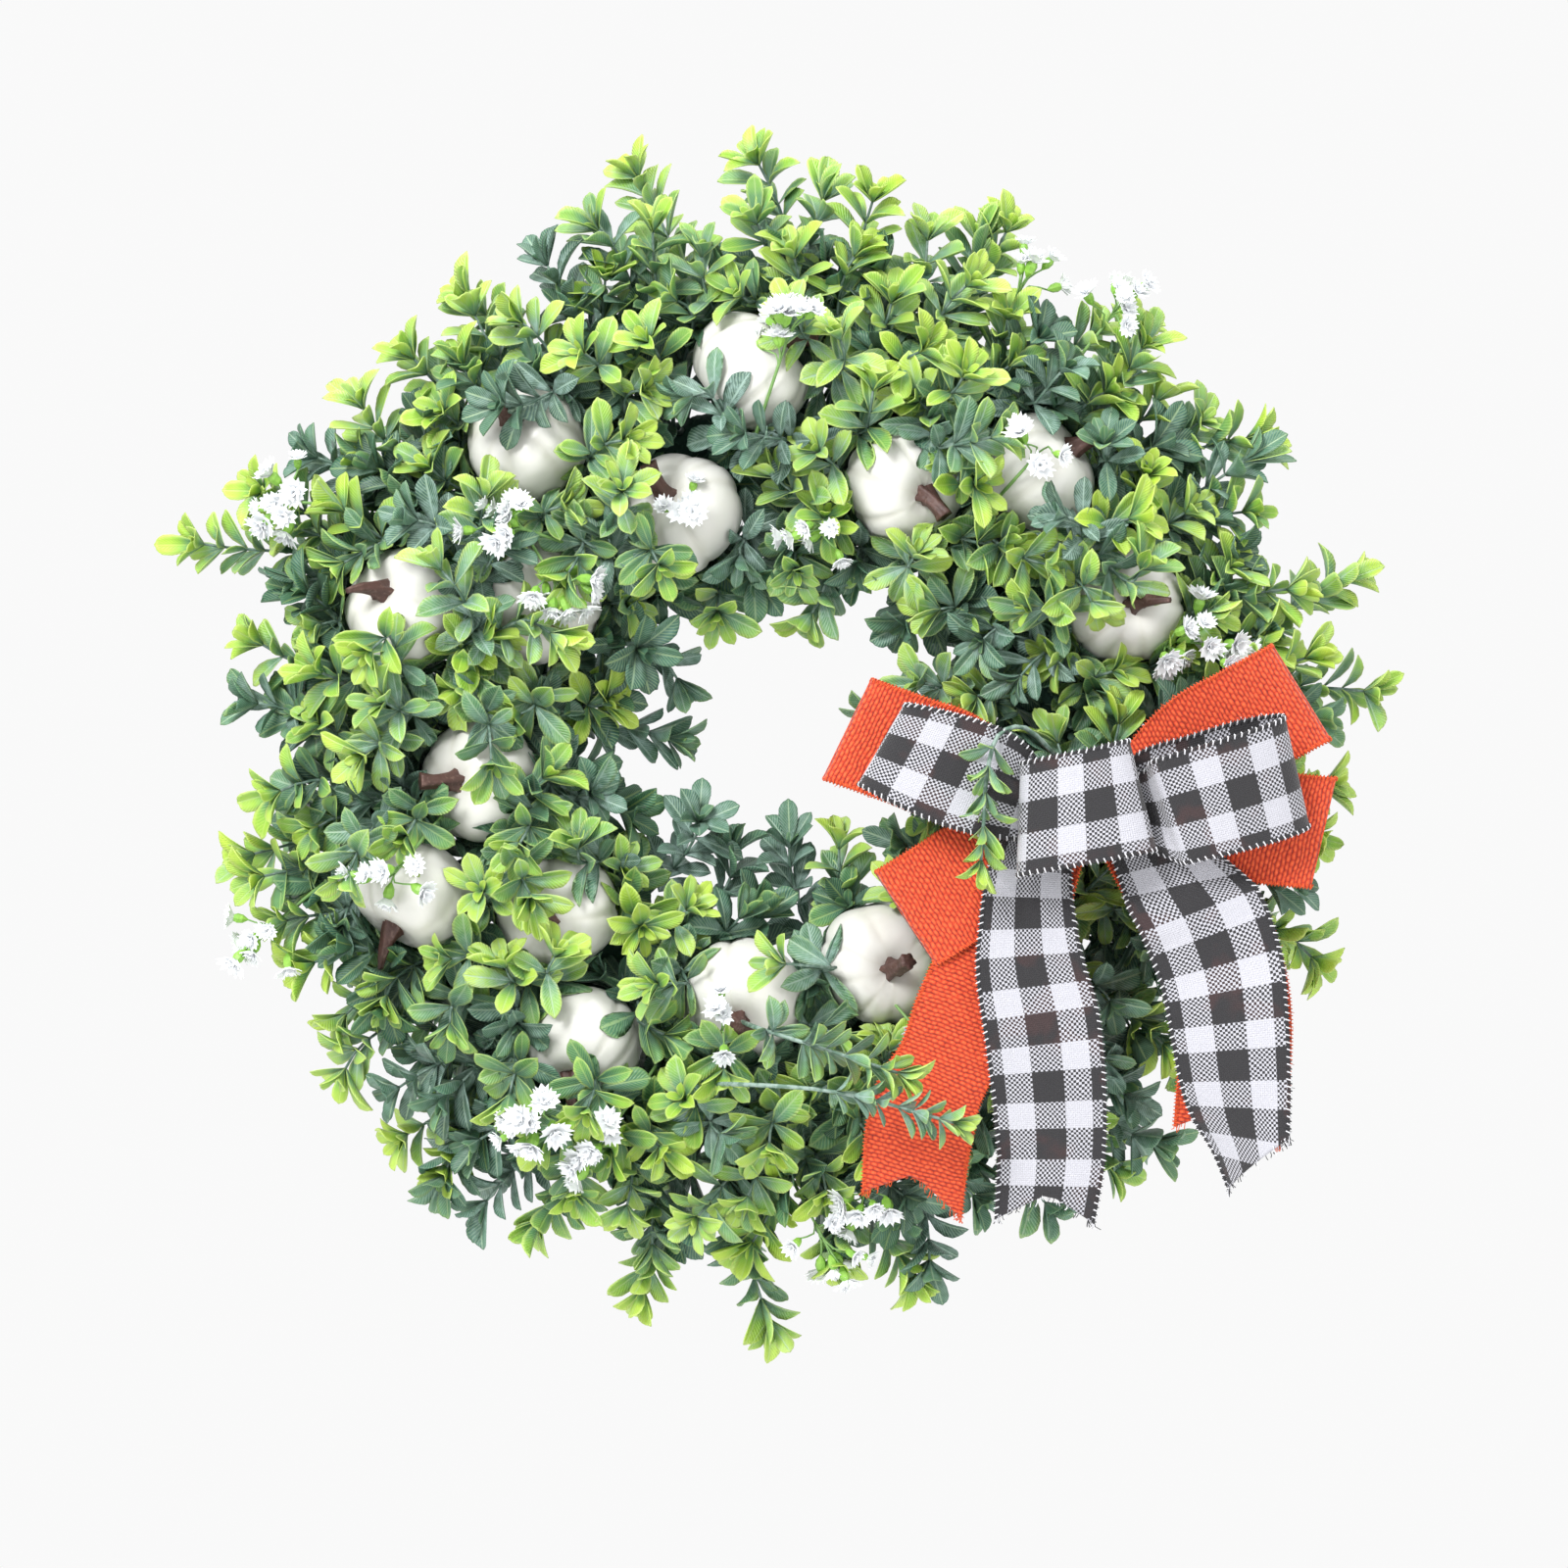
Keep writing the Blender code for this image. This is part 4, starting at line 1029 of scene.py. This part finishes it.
def makeTapedRing():
    s = tapeWrap
    corner = s["corner"]
    quarter = np.linspace(0, math.pi / 2, 7)
    section = [(ringInner, s["foot"]), (ringInner, ringDepth - corner)]
    rise, reach = corner * (1 - np.sin(quarter)), corner * (1 - np.cos(quarter))
    section += list(zip(ringInner + reach[1:], ringDepth - rise[1:]))
    section += list(zip(ringOuter - rise, ringDepth - reach))
    section += [(ringOuter, s["foot"])]
    section += [(ringOuter - ringWidth * k / 8, s["back"]) for k in range(1, 8)]
    section = np.array(section)
    outward = unit(section - np.array([ringInner + ringWidth / 2, ringDepth / 2]))
    outward[section[:, 1] == s["back"]] = (0, -1)
    outward[section[:, 1] == s["foot"]] *= (1, 0)
    turn = np.linspace(0, math.tau, s["steps"], endpoint=False)
    along = np.arange(len(section)) / len(section)
    phase = (turn[:, None] / math.tau * s["turns"] + along[None, :] * 0.9) % 1.0
    ridge = s["lift"] * (phase ** 1.5) + 0.00025 * np.sin(turn[:, None] * 171 + along[None, :] * 40)
    spread = section[None] + outward[None] * (ridge[..., None] - s["lift"] * 0.5)
    x = ringCentre.x + spread[..., 0] * np.cos(turn)[:, None]
    z = ringCentre.z + spread[..., 0] * np.sin(turn)[:, None]
    y = ringCentre.y - spread[..., 1]
    points = np.stack([x, y, z], -1).reshape(-1, 3)
    rows, columns = len(turn), len(section)
    faces = gridFaces(rows, columns, True)
    for j in range(columns):
        k = (j + 1) % columns
        faces.append(((rows - 1) * columns + j, (rows - 1) * columns + k, k, j))
    piece = newPiece("ring_wrap_tape", points, faces, [tapeMaterial])
    mendMesh(piece)
    settle(piece, "wreath", "ring_wrap")


hangerWire = {"radius": 0.001, "halfWidth": 0.0065, "knee": 0.0012}


def makeHanger():
    wire, half, knee = hangerWire["radius"], hangerWire["halfWidth"], hangerWire["knee"]
    level, crown = hangerLow.z + wire, hangerHigh.z - wire - half
    arch = [(half * math.cos(a), 0, crown + half * math.sin(a)) for a in np.linspace(0, math.pi, 25)]
    right = [(hangerHigh.x, 0, level), (half + knee, 0, level), (half, 0, level + knee)]
    left = [(-x, y, z) for x, y, z in reversed(right)]
    loop = TubeBundle(12)
    loop.add(np.array(right + arch + left), wire)
    settle(loop.finish("hanger_loop_wire", [wireMaterial]), "hanger_loop", "hanger_loop")
    for node, material in (("hanger_strap", tapeMaterial), ("ring_core", foamMaterial)):
        frame["nodes"][node].data.materials.clear()
        frame["nodes"][node].data.materials.append(material)


makeTapedRing()
makeHanger()
print("ring and hanger made")


# Where the lines of points run across a ribbon, closer together at its thick edges.
acrossStops = np.array([0.0, 0.012, 0.026, 0.05, 0.12, 0.22, 0.34, 0.46, 0.58, 0.70, 0.80, 0.89, 0.95, 0.974,
                        0.988, 1.0])


# The skin of a ribbon. Stations are middle points, edge directions, width shares and how deep the gathers are;
# cut says how much shorter the end is at each point across.
def ribbonSkin(middles, sides, shares, pleats, cut=None):
    s = ribbonShape
    rough = np.linalg.norm(np.diff(curvePoints(middles, 200), axis=0), axis=1).sum()
    rows = max(12, int(rough / s["step"]))
    fine = curvePoints(middles, rows * 4)
    travelled = np.concatenate([[0], np.cumsum(np.linalg.norm(np.diff(fine, axis=0), axis=1))])
    length = travelled[-1]
    fineSides = unit(curvePoints(sides, rows * 4))
    fineShares, finePleats = [curvePoints(np.array(v)[:, None], rows * 4)[:, 0] for v in (shares, pleats)]
    t = acrossStops
    ends = length - (cut(t) if cut else 0 * t)
    run = np.linspace(0, 1, rows)[:, None] * ends[None, :]

    def sample(values):
        return np.stack([np.interp(run, travelled, values[:, k]) for k in range(values.shape[1])], -1)

    centre, side = sample(fine), unit(sample(fineSides))
    share = np.interp(run, travelled, fineShares)[..., None]
    fold = np.interp(run, travelled, finePleats)[..., None]
    tangent = unit(sample(np.gradient(fine, axis=0)))
    normal = unit(np.cross(tangent, side))
    offset = (t - 0.5)[None, :, None] * s["width"]
    ripple = np.cos((t - 0.5) * math.tau * 1.75)[None, :, None] * fold
    points = centre + side * offset * share + normal * ripple
    thick = s["thickness"] + (s["edge"] - s["thickness"]) * np.clip(1 - np.minimum(t, 1 - t) / 0.030, 0, 1)
    thick[[0, -1]] *= 0.6
    skin = normal * thick[None, :, None] / 2
    places = np.stack([np.broadcast_to(t[None, :] * s["width"], run.shape), run], -1)
    return points, skin, places, tangent, side, normal, length


def finishRibbon(name, skinData, fabric):
    points, skin, places = skinData[:3]
    both = np.vstack([(points + skin).reshape(-1, 3), (points - skin).reshape(-1, 3)])
    spots = places.reshape(-1, 2)
    cloth = checkMaterial if fabric == "check" else burlapMaterial
    piece = newPiece(name, both, sheetFaces(*points.shape[:2]), [cloth], places=np.vstack([spots, spots]))
    mendMesh(piece, weld=False)
    return piece


# Overlock stitches: short threads wrapped over both edges, and loose threads at a cut end.
def makeStitches(name, skinData, fabric, frayed):
    points, _, _, tangent, side, normal, _ = skinData
    draw = np.random.default_rng(sum(map(ord, name)))
    bundle = TubeBundle(4)
    pitch = ribbonShape["stitchPitch"]
    for edge, sign in ((0, -1), (points.shape[1] - 1, 1)):
        line, out = points[:, edge], side[:, edge] * sign
        steps = np.concatenate([[0], np.cumsum(np.linalg.norm(np.diff(line, axis=0), axis=1))])
        at, number = pitch * 0.5, 0
        while at < steps[-1] - pitch * 0.4:
            middle, away, up, ahead = [
                np.array([np.interp(at, steps, values[:, k]) for k in range(3)])
                for values in (line, out, normal[:, edge], tangent[:, edge])]
            away, up, ahead = unit(away), unit(up), unit(ahead)
            slope = ahead * pitch * 0.42
            lift = up * 0.00055
            inner = -away * draw.uniform(0.0010, 0.0015)
            thread = [middle + inner + lift * 0.8 - slope, middle + away * 0.0001 + lift * 0.9,
                      middle + away * 0.0004 + slope * 0.2, middle + away * 0.0001 - lift * 0.9,
                      middle + inner - lift * 0.8 + slope]
            bundle.add(thread, 0.00026, 0.5, 0 if number % 2 else 1)
            if draw.random() < 0.10:
                hair = unit(away + up * draw.normal() * 0.5 + ahead * draw.normal() * 0.6)
                bundle.add([middle, middle + hair * draw.uniform(0.0008, 0.0016)], 0.00011, 0.5,
                           0 if draw.random() < 0.6 else 1)
            at += pitch * draw.uniform(0.92, 1.08)
            number += 1
    if frayed:
        last = len(points) - 1
        for _ in range(ribbonShape["frays"]):
            j = draw.uniform(0, points.shape[1] - 1)
            low = int(j)
            high = min(low + 1, points.shape[1] - 1)
            foot = points[last, low] * (1 - (j - low)) + points[last, high] * (j - low)
            ahead, away, up = tangent[last, low], side[last, low], normal[last, low]
            hair = unit(ahead + away * draw.normal() * 0.35 + up * draw.normal() * 0.35)
            run = draw.uniform(0.0008, 0.0030)
            tip = foot + hair * run + away * draw.normal() * 0.0006
            thread = [foot - ahead * 0.001, foot + hair * run * 0.5, tip]
            bundle.add(thread, 0.00016, 0.5, int(draw.random() < 0.5))
    if fabric == "check":
        threads = [blackThreadMaterial, whiteThreadMaterial]
    else:
        threads = [orangeThreadMaterial, orangeThreadMaterial]
    return bundle.finish(name + "_stitches", threads)


# A point given as it looks from the front, sideways and up from the knot, and its height over the door.
def fromKnot(x, z, forward):
    across, up = studio["aim"]
    nearer = 1 - (forward - studio["focusForward"]) / studio["cameraDistance"]
    middleX, middleZ = ringCentre.x + across, ringCentre.z + up
    return np.array([middleX + (knotCentre.x + x - middleX) * nearer, ringCentre.y - forward,
                     middleZ + (knotCentre.z + z - middleZ) * nearer])


# Each burlap loop: where its back is, how deep it is, its width share at the knot, the way it runs from there,
# how far, the slope of its fold and how its edges lean to the front, in metres and degrees.
upperLoop = dict(back=0.0745, depth=0.0085, pinch=0.50)
lowerLoop = dict(back=0.0835, depth=0.0075, pinch=0.45)
bowLoops = {
    "burlap_loop_upper_left": dict(upperLoop, along=160.6, reach=0.0895, fold=64, lean=-6),
    "burlap_loop_upper_right": dict(upperLoop, along=28.2, reach=0.0910, fold=122, lean=4),
    "burlap_loop_lower_left": dict(lowerLoop, along=211.8, reach=0.0745, fold=123, lean=-5),
    "burlap_loop_lower_right": dict(lowerLoop, along=-5.2, reach=0.0890, fold=77, lean=0),
}
# Each check loop as stations: sideways, up and forward in mm, slope and lean of its width in degrees, width
# share and depth of its gathers in mm.
checkLoops = {
    "check_loop_left": (
        (-12, 2, 94, 88, 0, 0.55, 1.4), (-24, 7, 93, 74, 0, 0.80, 0.8), (-41, 13, 92.5, 66, 0, 0.97, 0.2),
        (-60, 20, 93, 62, 2, 0.93, 0), (-69.5, 23.4, 95.5, 61, 5, 0.86, 0), (-72, 24, 99.5, 60, 6, 0.82, 0),
        (-68, 22.8, 103.5, 61, 6, 0.86, 0), (-57, 18.8, 105.5, 63, 4, 0.93, 0),
        (-41, 13, 106.3, 65, 2, 0.98, 0.1),
        (-26, 7.5, 104.5, 72, 0, 0.88, 0.6), (-14, 2, 100.5, 86, 0, 0.60, 1.3)),
    "check_loop_right": (
        (12, 0, 93.6, 92, 0, 0.55, 1.3), (24, 2.8, 93, 98, 4, 0.92, 0.4), (42, 7.0, 92.6, 100, 8, 1.0, 0),
        (62, 12.6, 93.2, 103, 10, 1.02, 0), (74.5, 14.6, 96.5, 104, 12, 1.03, 0),
        (78.5, 14.2, 101.5, 104, 13, 1.03, 0),
        (74.5, 11.8, 106.5, 104, 13, 1.03, 0), (64, 8.2, 109.6, 105, 12, 1.02, 0),
        (50, 4.2, 111.0, 106, 9, 1.0, 0),
        (38, 1.0, 110.4, 109, 6, 0.97, 0), (32.2, -0.6, 107.2, 109, 3, 0.95, 0),
        (30.5, -1.2, 103, 108, 0, 0.90, 0.2),
        (27, -1.2, 99.4, 104, 0, 0.78, 0.7), (20, -1, 97.4, 98, 0, 0.64, 1.1),
        (13, -1, 96.6, 92, 0, 0.52, 1.3)),
    "check_loop_front": (
        (-5, 0, 100.4, 90, 0, 0.80, 0.6), (-14, -1.6, 100.6, 88, 0, 0.94, 0.1),
        (-20.4, -2.8, 102.6, 88, 0, 1.0, 0),
        (-22, -3.1, 107, 88, 0, 1.0, 0), (-18, -2.3, 111.2, 88, 0, 1.0, 0), (-8, -0.4, 114.0, 90, 0, 1.0, 0),
        (4, 1.8, 115.0, 93, 0, 1.0, 0), (14, 3.9, 113.6, 98, 0, 1.0, 0), (20.6, 5.2, 110.6, 102, 0, 1.0, 0),
        (22.6, 5.6, 106.4, 104, 0, 1.0, 0), (19, 4.8, 102.4, 102, 0, 0.98, 0),
        (11, 3, 100.6, 98, 0, 0.90, 0.3)),
}


def stationsFrom(table):
    table = np.array(table, float)
    points = np.array([fromKnot(x / 1000, z / 1000, f / 1000) for x, z, f in table[:, :3]])
    sides = np.array([list(direction(slope, lean)) for slope, lean in table[:, 3:5]])
    return points, sides, list(table[:, 5]), list(table[:, 6] / 1000)


loopHabit = {"opened": 0.42, "start": 0.014, "gathered": 0.0016, "stations": 15}


def loopStations(s):
    h = loopHabit
    along = np.array(direction(s["along"]))
    sideTop = np.array(direction(s["fold"], s["lean"]))
    rootSide = np.array(direction(s["along"] + (90 if math.cos(math.radians(s["along"])) > 0 else -90), 0))
    points, sides, shares, pleats = [], [], [], []
    for turn in np.linspace(h["opened"], math.tau - h["opened"], h["stations"]):
        share = (1 - math.cos(turn)) / 2
        run = h["start"] + (s["reach"] - h["start"]) * share
        bulge = s["depth"] / 2 * math.sin(turn) * math.sin(turn / 2) ** 0.35
        points.append(fromKnot(along[0] * run, along[2] * run, s["back"] + s["depth"] / 2 - bulge))
        mixed = smoothStep((share - 0.05) / 0.6)
        sides.append(unit(rootSide * (1 - mixed) + sideTop * mixed))
        gathered = 1 - smoothStep(share / 0.5)
        shares.append(1 - (1 - s["pinch"]) * gathered)
        pleats.append(h["gathered"] * gathered)
    return np.array(points), np.array(sides), shares, pleats


# Makes a ribbon with its stitches. One with a cut end is frayed there; one with a bend is left where it hangs,
# on no body.
def addRibbon(name, node, stations, fabric, body, cut=None, bend=None):
    skinData = ribbonSkin(*stations, cut)
    cloth = finishRibbon(name, skinData, fabric)
    stitches = makeStitches(name, skinData, fabric, cut is not None)
    for piece in (cloth, stitches):
        if bend:
            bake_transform(piece)
        else:
            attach(piece, body)
    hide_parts(node)
    print(name, "flat length", round(skinData[6], 3))


def makeLoops():
    for name, s in bowLoops.items():
        addRibbon(name + "_ribbon", name, loopStations(s), "burlap", "bow")
    for name, table in checkLoops.items():
        addRibbon(name + "_ribbon", name, stationsFrom(table), "check", "bow")


# Each tail as stations like the check loops', and how deep the notch or slant of its cut end is, in metres.
bowTails = {
    "burlap_tail_left": dict(fabric="burlap", body="left_tails", notch=0.011, stations=(
        (-10, -10, 90, -20, 0, 0.60, 1.2), (-18, -26, 90.5, -26, 0, 0.80, 0.8),
        (-29, -50, 91, -24, 4, 0.96, 0.2),
        (-40, -72, 90.4, -20, 8, 0.95, 0), (-48, -90, 88.5, -20, 12, 0.88, 0),
        (-53.5, -100, 87.5, -22, 0, 0.90, 0),
        (-57, -110, 88.5, -20, -6, 0.97, 0), (-59.5, -124, 88, -17, -6, 0.96, 0),
        (-61, -143, 86, -15, -6, 0.92, 0))),
    "burlap_tail_right": dict(fabric="burlap", body="right_tails", notch=0.011, stations=(
        (18, -8, 90, 20, 0, 0.60, 1.2), (31, -22, 90.5, 28, 0, 0.85, 0.6), (46, -40, 91, 24, 0, 1.0, 0),
        (54.5, -62, 90, 8, 0, 1.0, 0), (56, -88, 88, -4, 0, 1.0, 0), (53, -118, 86, -10, 0, 0.95, 0))),
    "check_tail_left": dict(fabric="check", body="left_tails", notch=0.010, stations=(
        (-14, -6, 93, -8, 0, 0.60, 1.4), (-18.5, -24, 93.5, -4, 0, 0.75, 1.0), (-19, -44, 95, 2, 0, 0.87, 0.5),
        (-18, -57, 97, 5, 0, 0.96, 0.2), (-14.5, -74, 98, 8, 2, 1.02, 0), (-12.7, -87, 98, 6, 4, 1.02, 0),
        (-11.2, -104, 96.5, 3, 3, 1.0, 0), (-10.5, -126, 93.5, 0, 0, 0.95, 0),
        (-13, -149, 91.5, -3, -4, 0.89, 0))),
    "check_tail_right": dict(fabric="check", body="right_tails", slant=0.026, stations=(
        (22, -6, 93, 20, 0, 0.66, 1.4), (34.5, -23, 94.0, 12, 0, 0.98, 0.5),
        (39, -30, 97.0, 14, -6, 1.10, 0.2),
        (43, -36, 98.5, 20, -6, 1.12, 0), (47, -45, 97.8, 20, 0, 1.12, 0), (51.5, -59, 98.5, 14, 2, 1.10, 0),
        (53.5, -73, 99.5, 8, 4, 1.06, 0), (56, -97, 98.5, 2, 6, 0.98, 0), (58, -112, 96.5, -4, 12, 0.88, 0),
        (61.5, -127, 94.5, -14, 26, 0.74, 0), (64, -142, 92.5, -22, 34, 0.62, 0))),
}


def makeTails():
    for name, s in bowTails.items():
        def cut(t):
            return s["notch"] * (1 - np.abs(2 * t - 1)) if "notch" in s else s["slant"] * t

        addRibbon(name + "_ribbon", name, stationsFrom(s["stations"]), s["fabric"], s["body"],
                  cut, bendPlaces(s["body"]))


# Two places just above and below a tail's joint, under the loops.
def bendPlaces(body):
    pivot = next(j for j in frame["joints"] if j["child"] == body)["pos_m"]
    return (pivot[0], pivot[1], pivot[2] + 0.009), (pivot[0], pivot[1], pivot[2] - 0.011)


knotWrap = {"halfHeight": 0.0105, "halfDepth": 0.0120, "width": 0.62, "forward": 0.0865, "pleat": 0.0011}
tieTwist = {"turns": 7, "radius": 0.0007, "strand": 0.0006, "steps": 90}


def makeKnot():
    s = knotWrap
    turns = np.linspace(-math.pi / 2, math.pi * 1.5 - 0.25, 15)
    points = [fromKnot(0, s["halfHeight"] * math.sin(turn), s["forward"] + s["halfDepth"] * math.cos(turn))
              for turn in turns]
    stations = (np.array(points), np.tile([1.0, 0, 0], (15, 1)), [s["width"]] * 15, [s["pleat"]] * 15)
    addRibbon("bow_knot_wrap", "bow_knot", stations, "check", "bow")


def makeTieWire():
    s = tieTwist
    middle = (tieLow + tieHigh) / 2
    bundle = TubeBundle(7)
    for strand in (0, math.pi):
        turns = np.linspace(0, math.tau * s["turns"], s["steps"]) + strand
        y = np.linspace(tieLow.y, tieHigh.y, s["steps"])
        x, z = middle.x + s["radius"] * np.cos(turns), middle.z + s["radius"] * np.sin(turns)
        bundle.add(np.stack([x, y, z], -1), s["strand"])
    settle(bundle.finish("bow_tie_wire_twist", [wireMaterial]), "bow", "bow_tie_wire")


makeLoops()
makeTails()
makeKnot()
makeBowSprigs()
makeTieWire()
print("bow made")


def makeStudio():
    s = studio
    scene = bpy.context.scene
    camera = bpy.data.objects.new("camera", bpy.data.cameras.new("camera"))
    camera.data.lens = s["lens"]
    camera.data.sensor_width = 36.0
    camera.data.clip_end = 50.0
    across, up = s["aim"]
    away = s["focusForward"] + s["cameraDistance"]
    camera.location = (ringCentre.x + across, ringCentre.y - away, ringCentre.z + up)
    camera.rotation_euler = (math.pi / 2, 0, 0)
    scene.collection.objects.link(camera)
    scene.camera = camera
    half = s["floorSize"] / 2
    level = ringCentre.z - s["floorDrop"]
    floorMaterial = makePlainMaterial("paleFloor", (0.86, 0.86, 0.85), (0.90, 0.90, 0.89), 6.0, 0.7, 0.0001)
    corners = [(-half, -half, level), (half, -half, level), (half, half, level), (-half, half, level)]
    floor = newPiece("floor", corners, [(0, 1, 2, 3)], [floorMaterial], smooth=False)
    world = bpy.data.worlds.new("studio")
    world.use_nodes = True
    background = world.node_tree.nodes["Background"]
    background.inputs[0].default_value = (*s["worldColour"], 1)
    background.inputs[1].default_value = s["worldStrength"]
    scene.world = world
    addLamp("key", (-0.8, -1.5, 1.0), 0.7, 40.0)
    addLamp("fill", (1.4, -1.4, 0.1), 1.2, 6.0)
    addLamp("top", (0.1, -0.2, 1.3), 1.0, 12.0)
    scene.view_settings.view_transform = "Standard"


def addLamp(name, where, size, power):
    lamp = bpy.data.lights.new(name, "AREA")
    lamp.energy = power
    lamp.size = size
    holder = bpy.data.objects.new(name, lamp)
    holder.location = Vector(where) + Vector((0, 0, ringCentre.z))
    aim = ringCentre - holder.location
    holder.rotation_euler = aim.to_track_quat("-Z", "Y").to_euler()
    bpy.context.scene.collection.objects.link(holder)


makeStudio()
print("studio made")
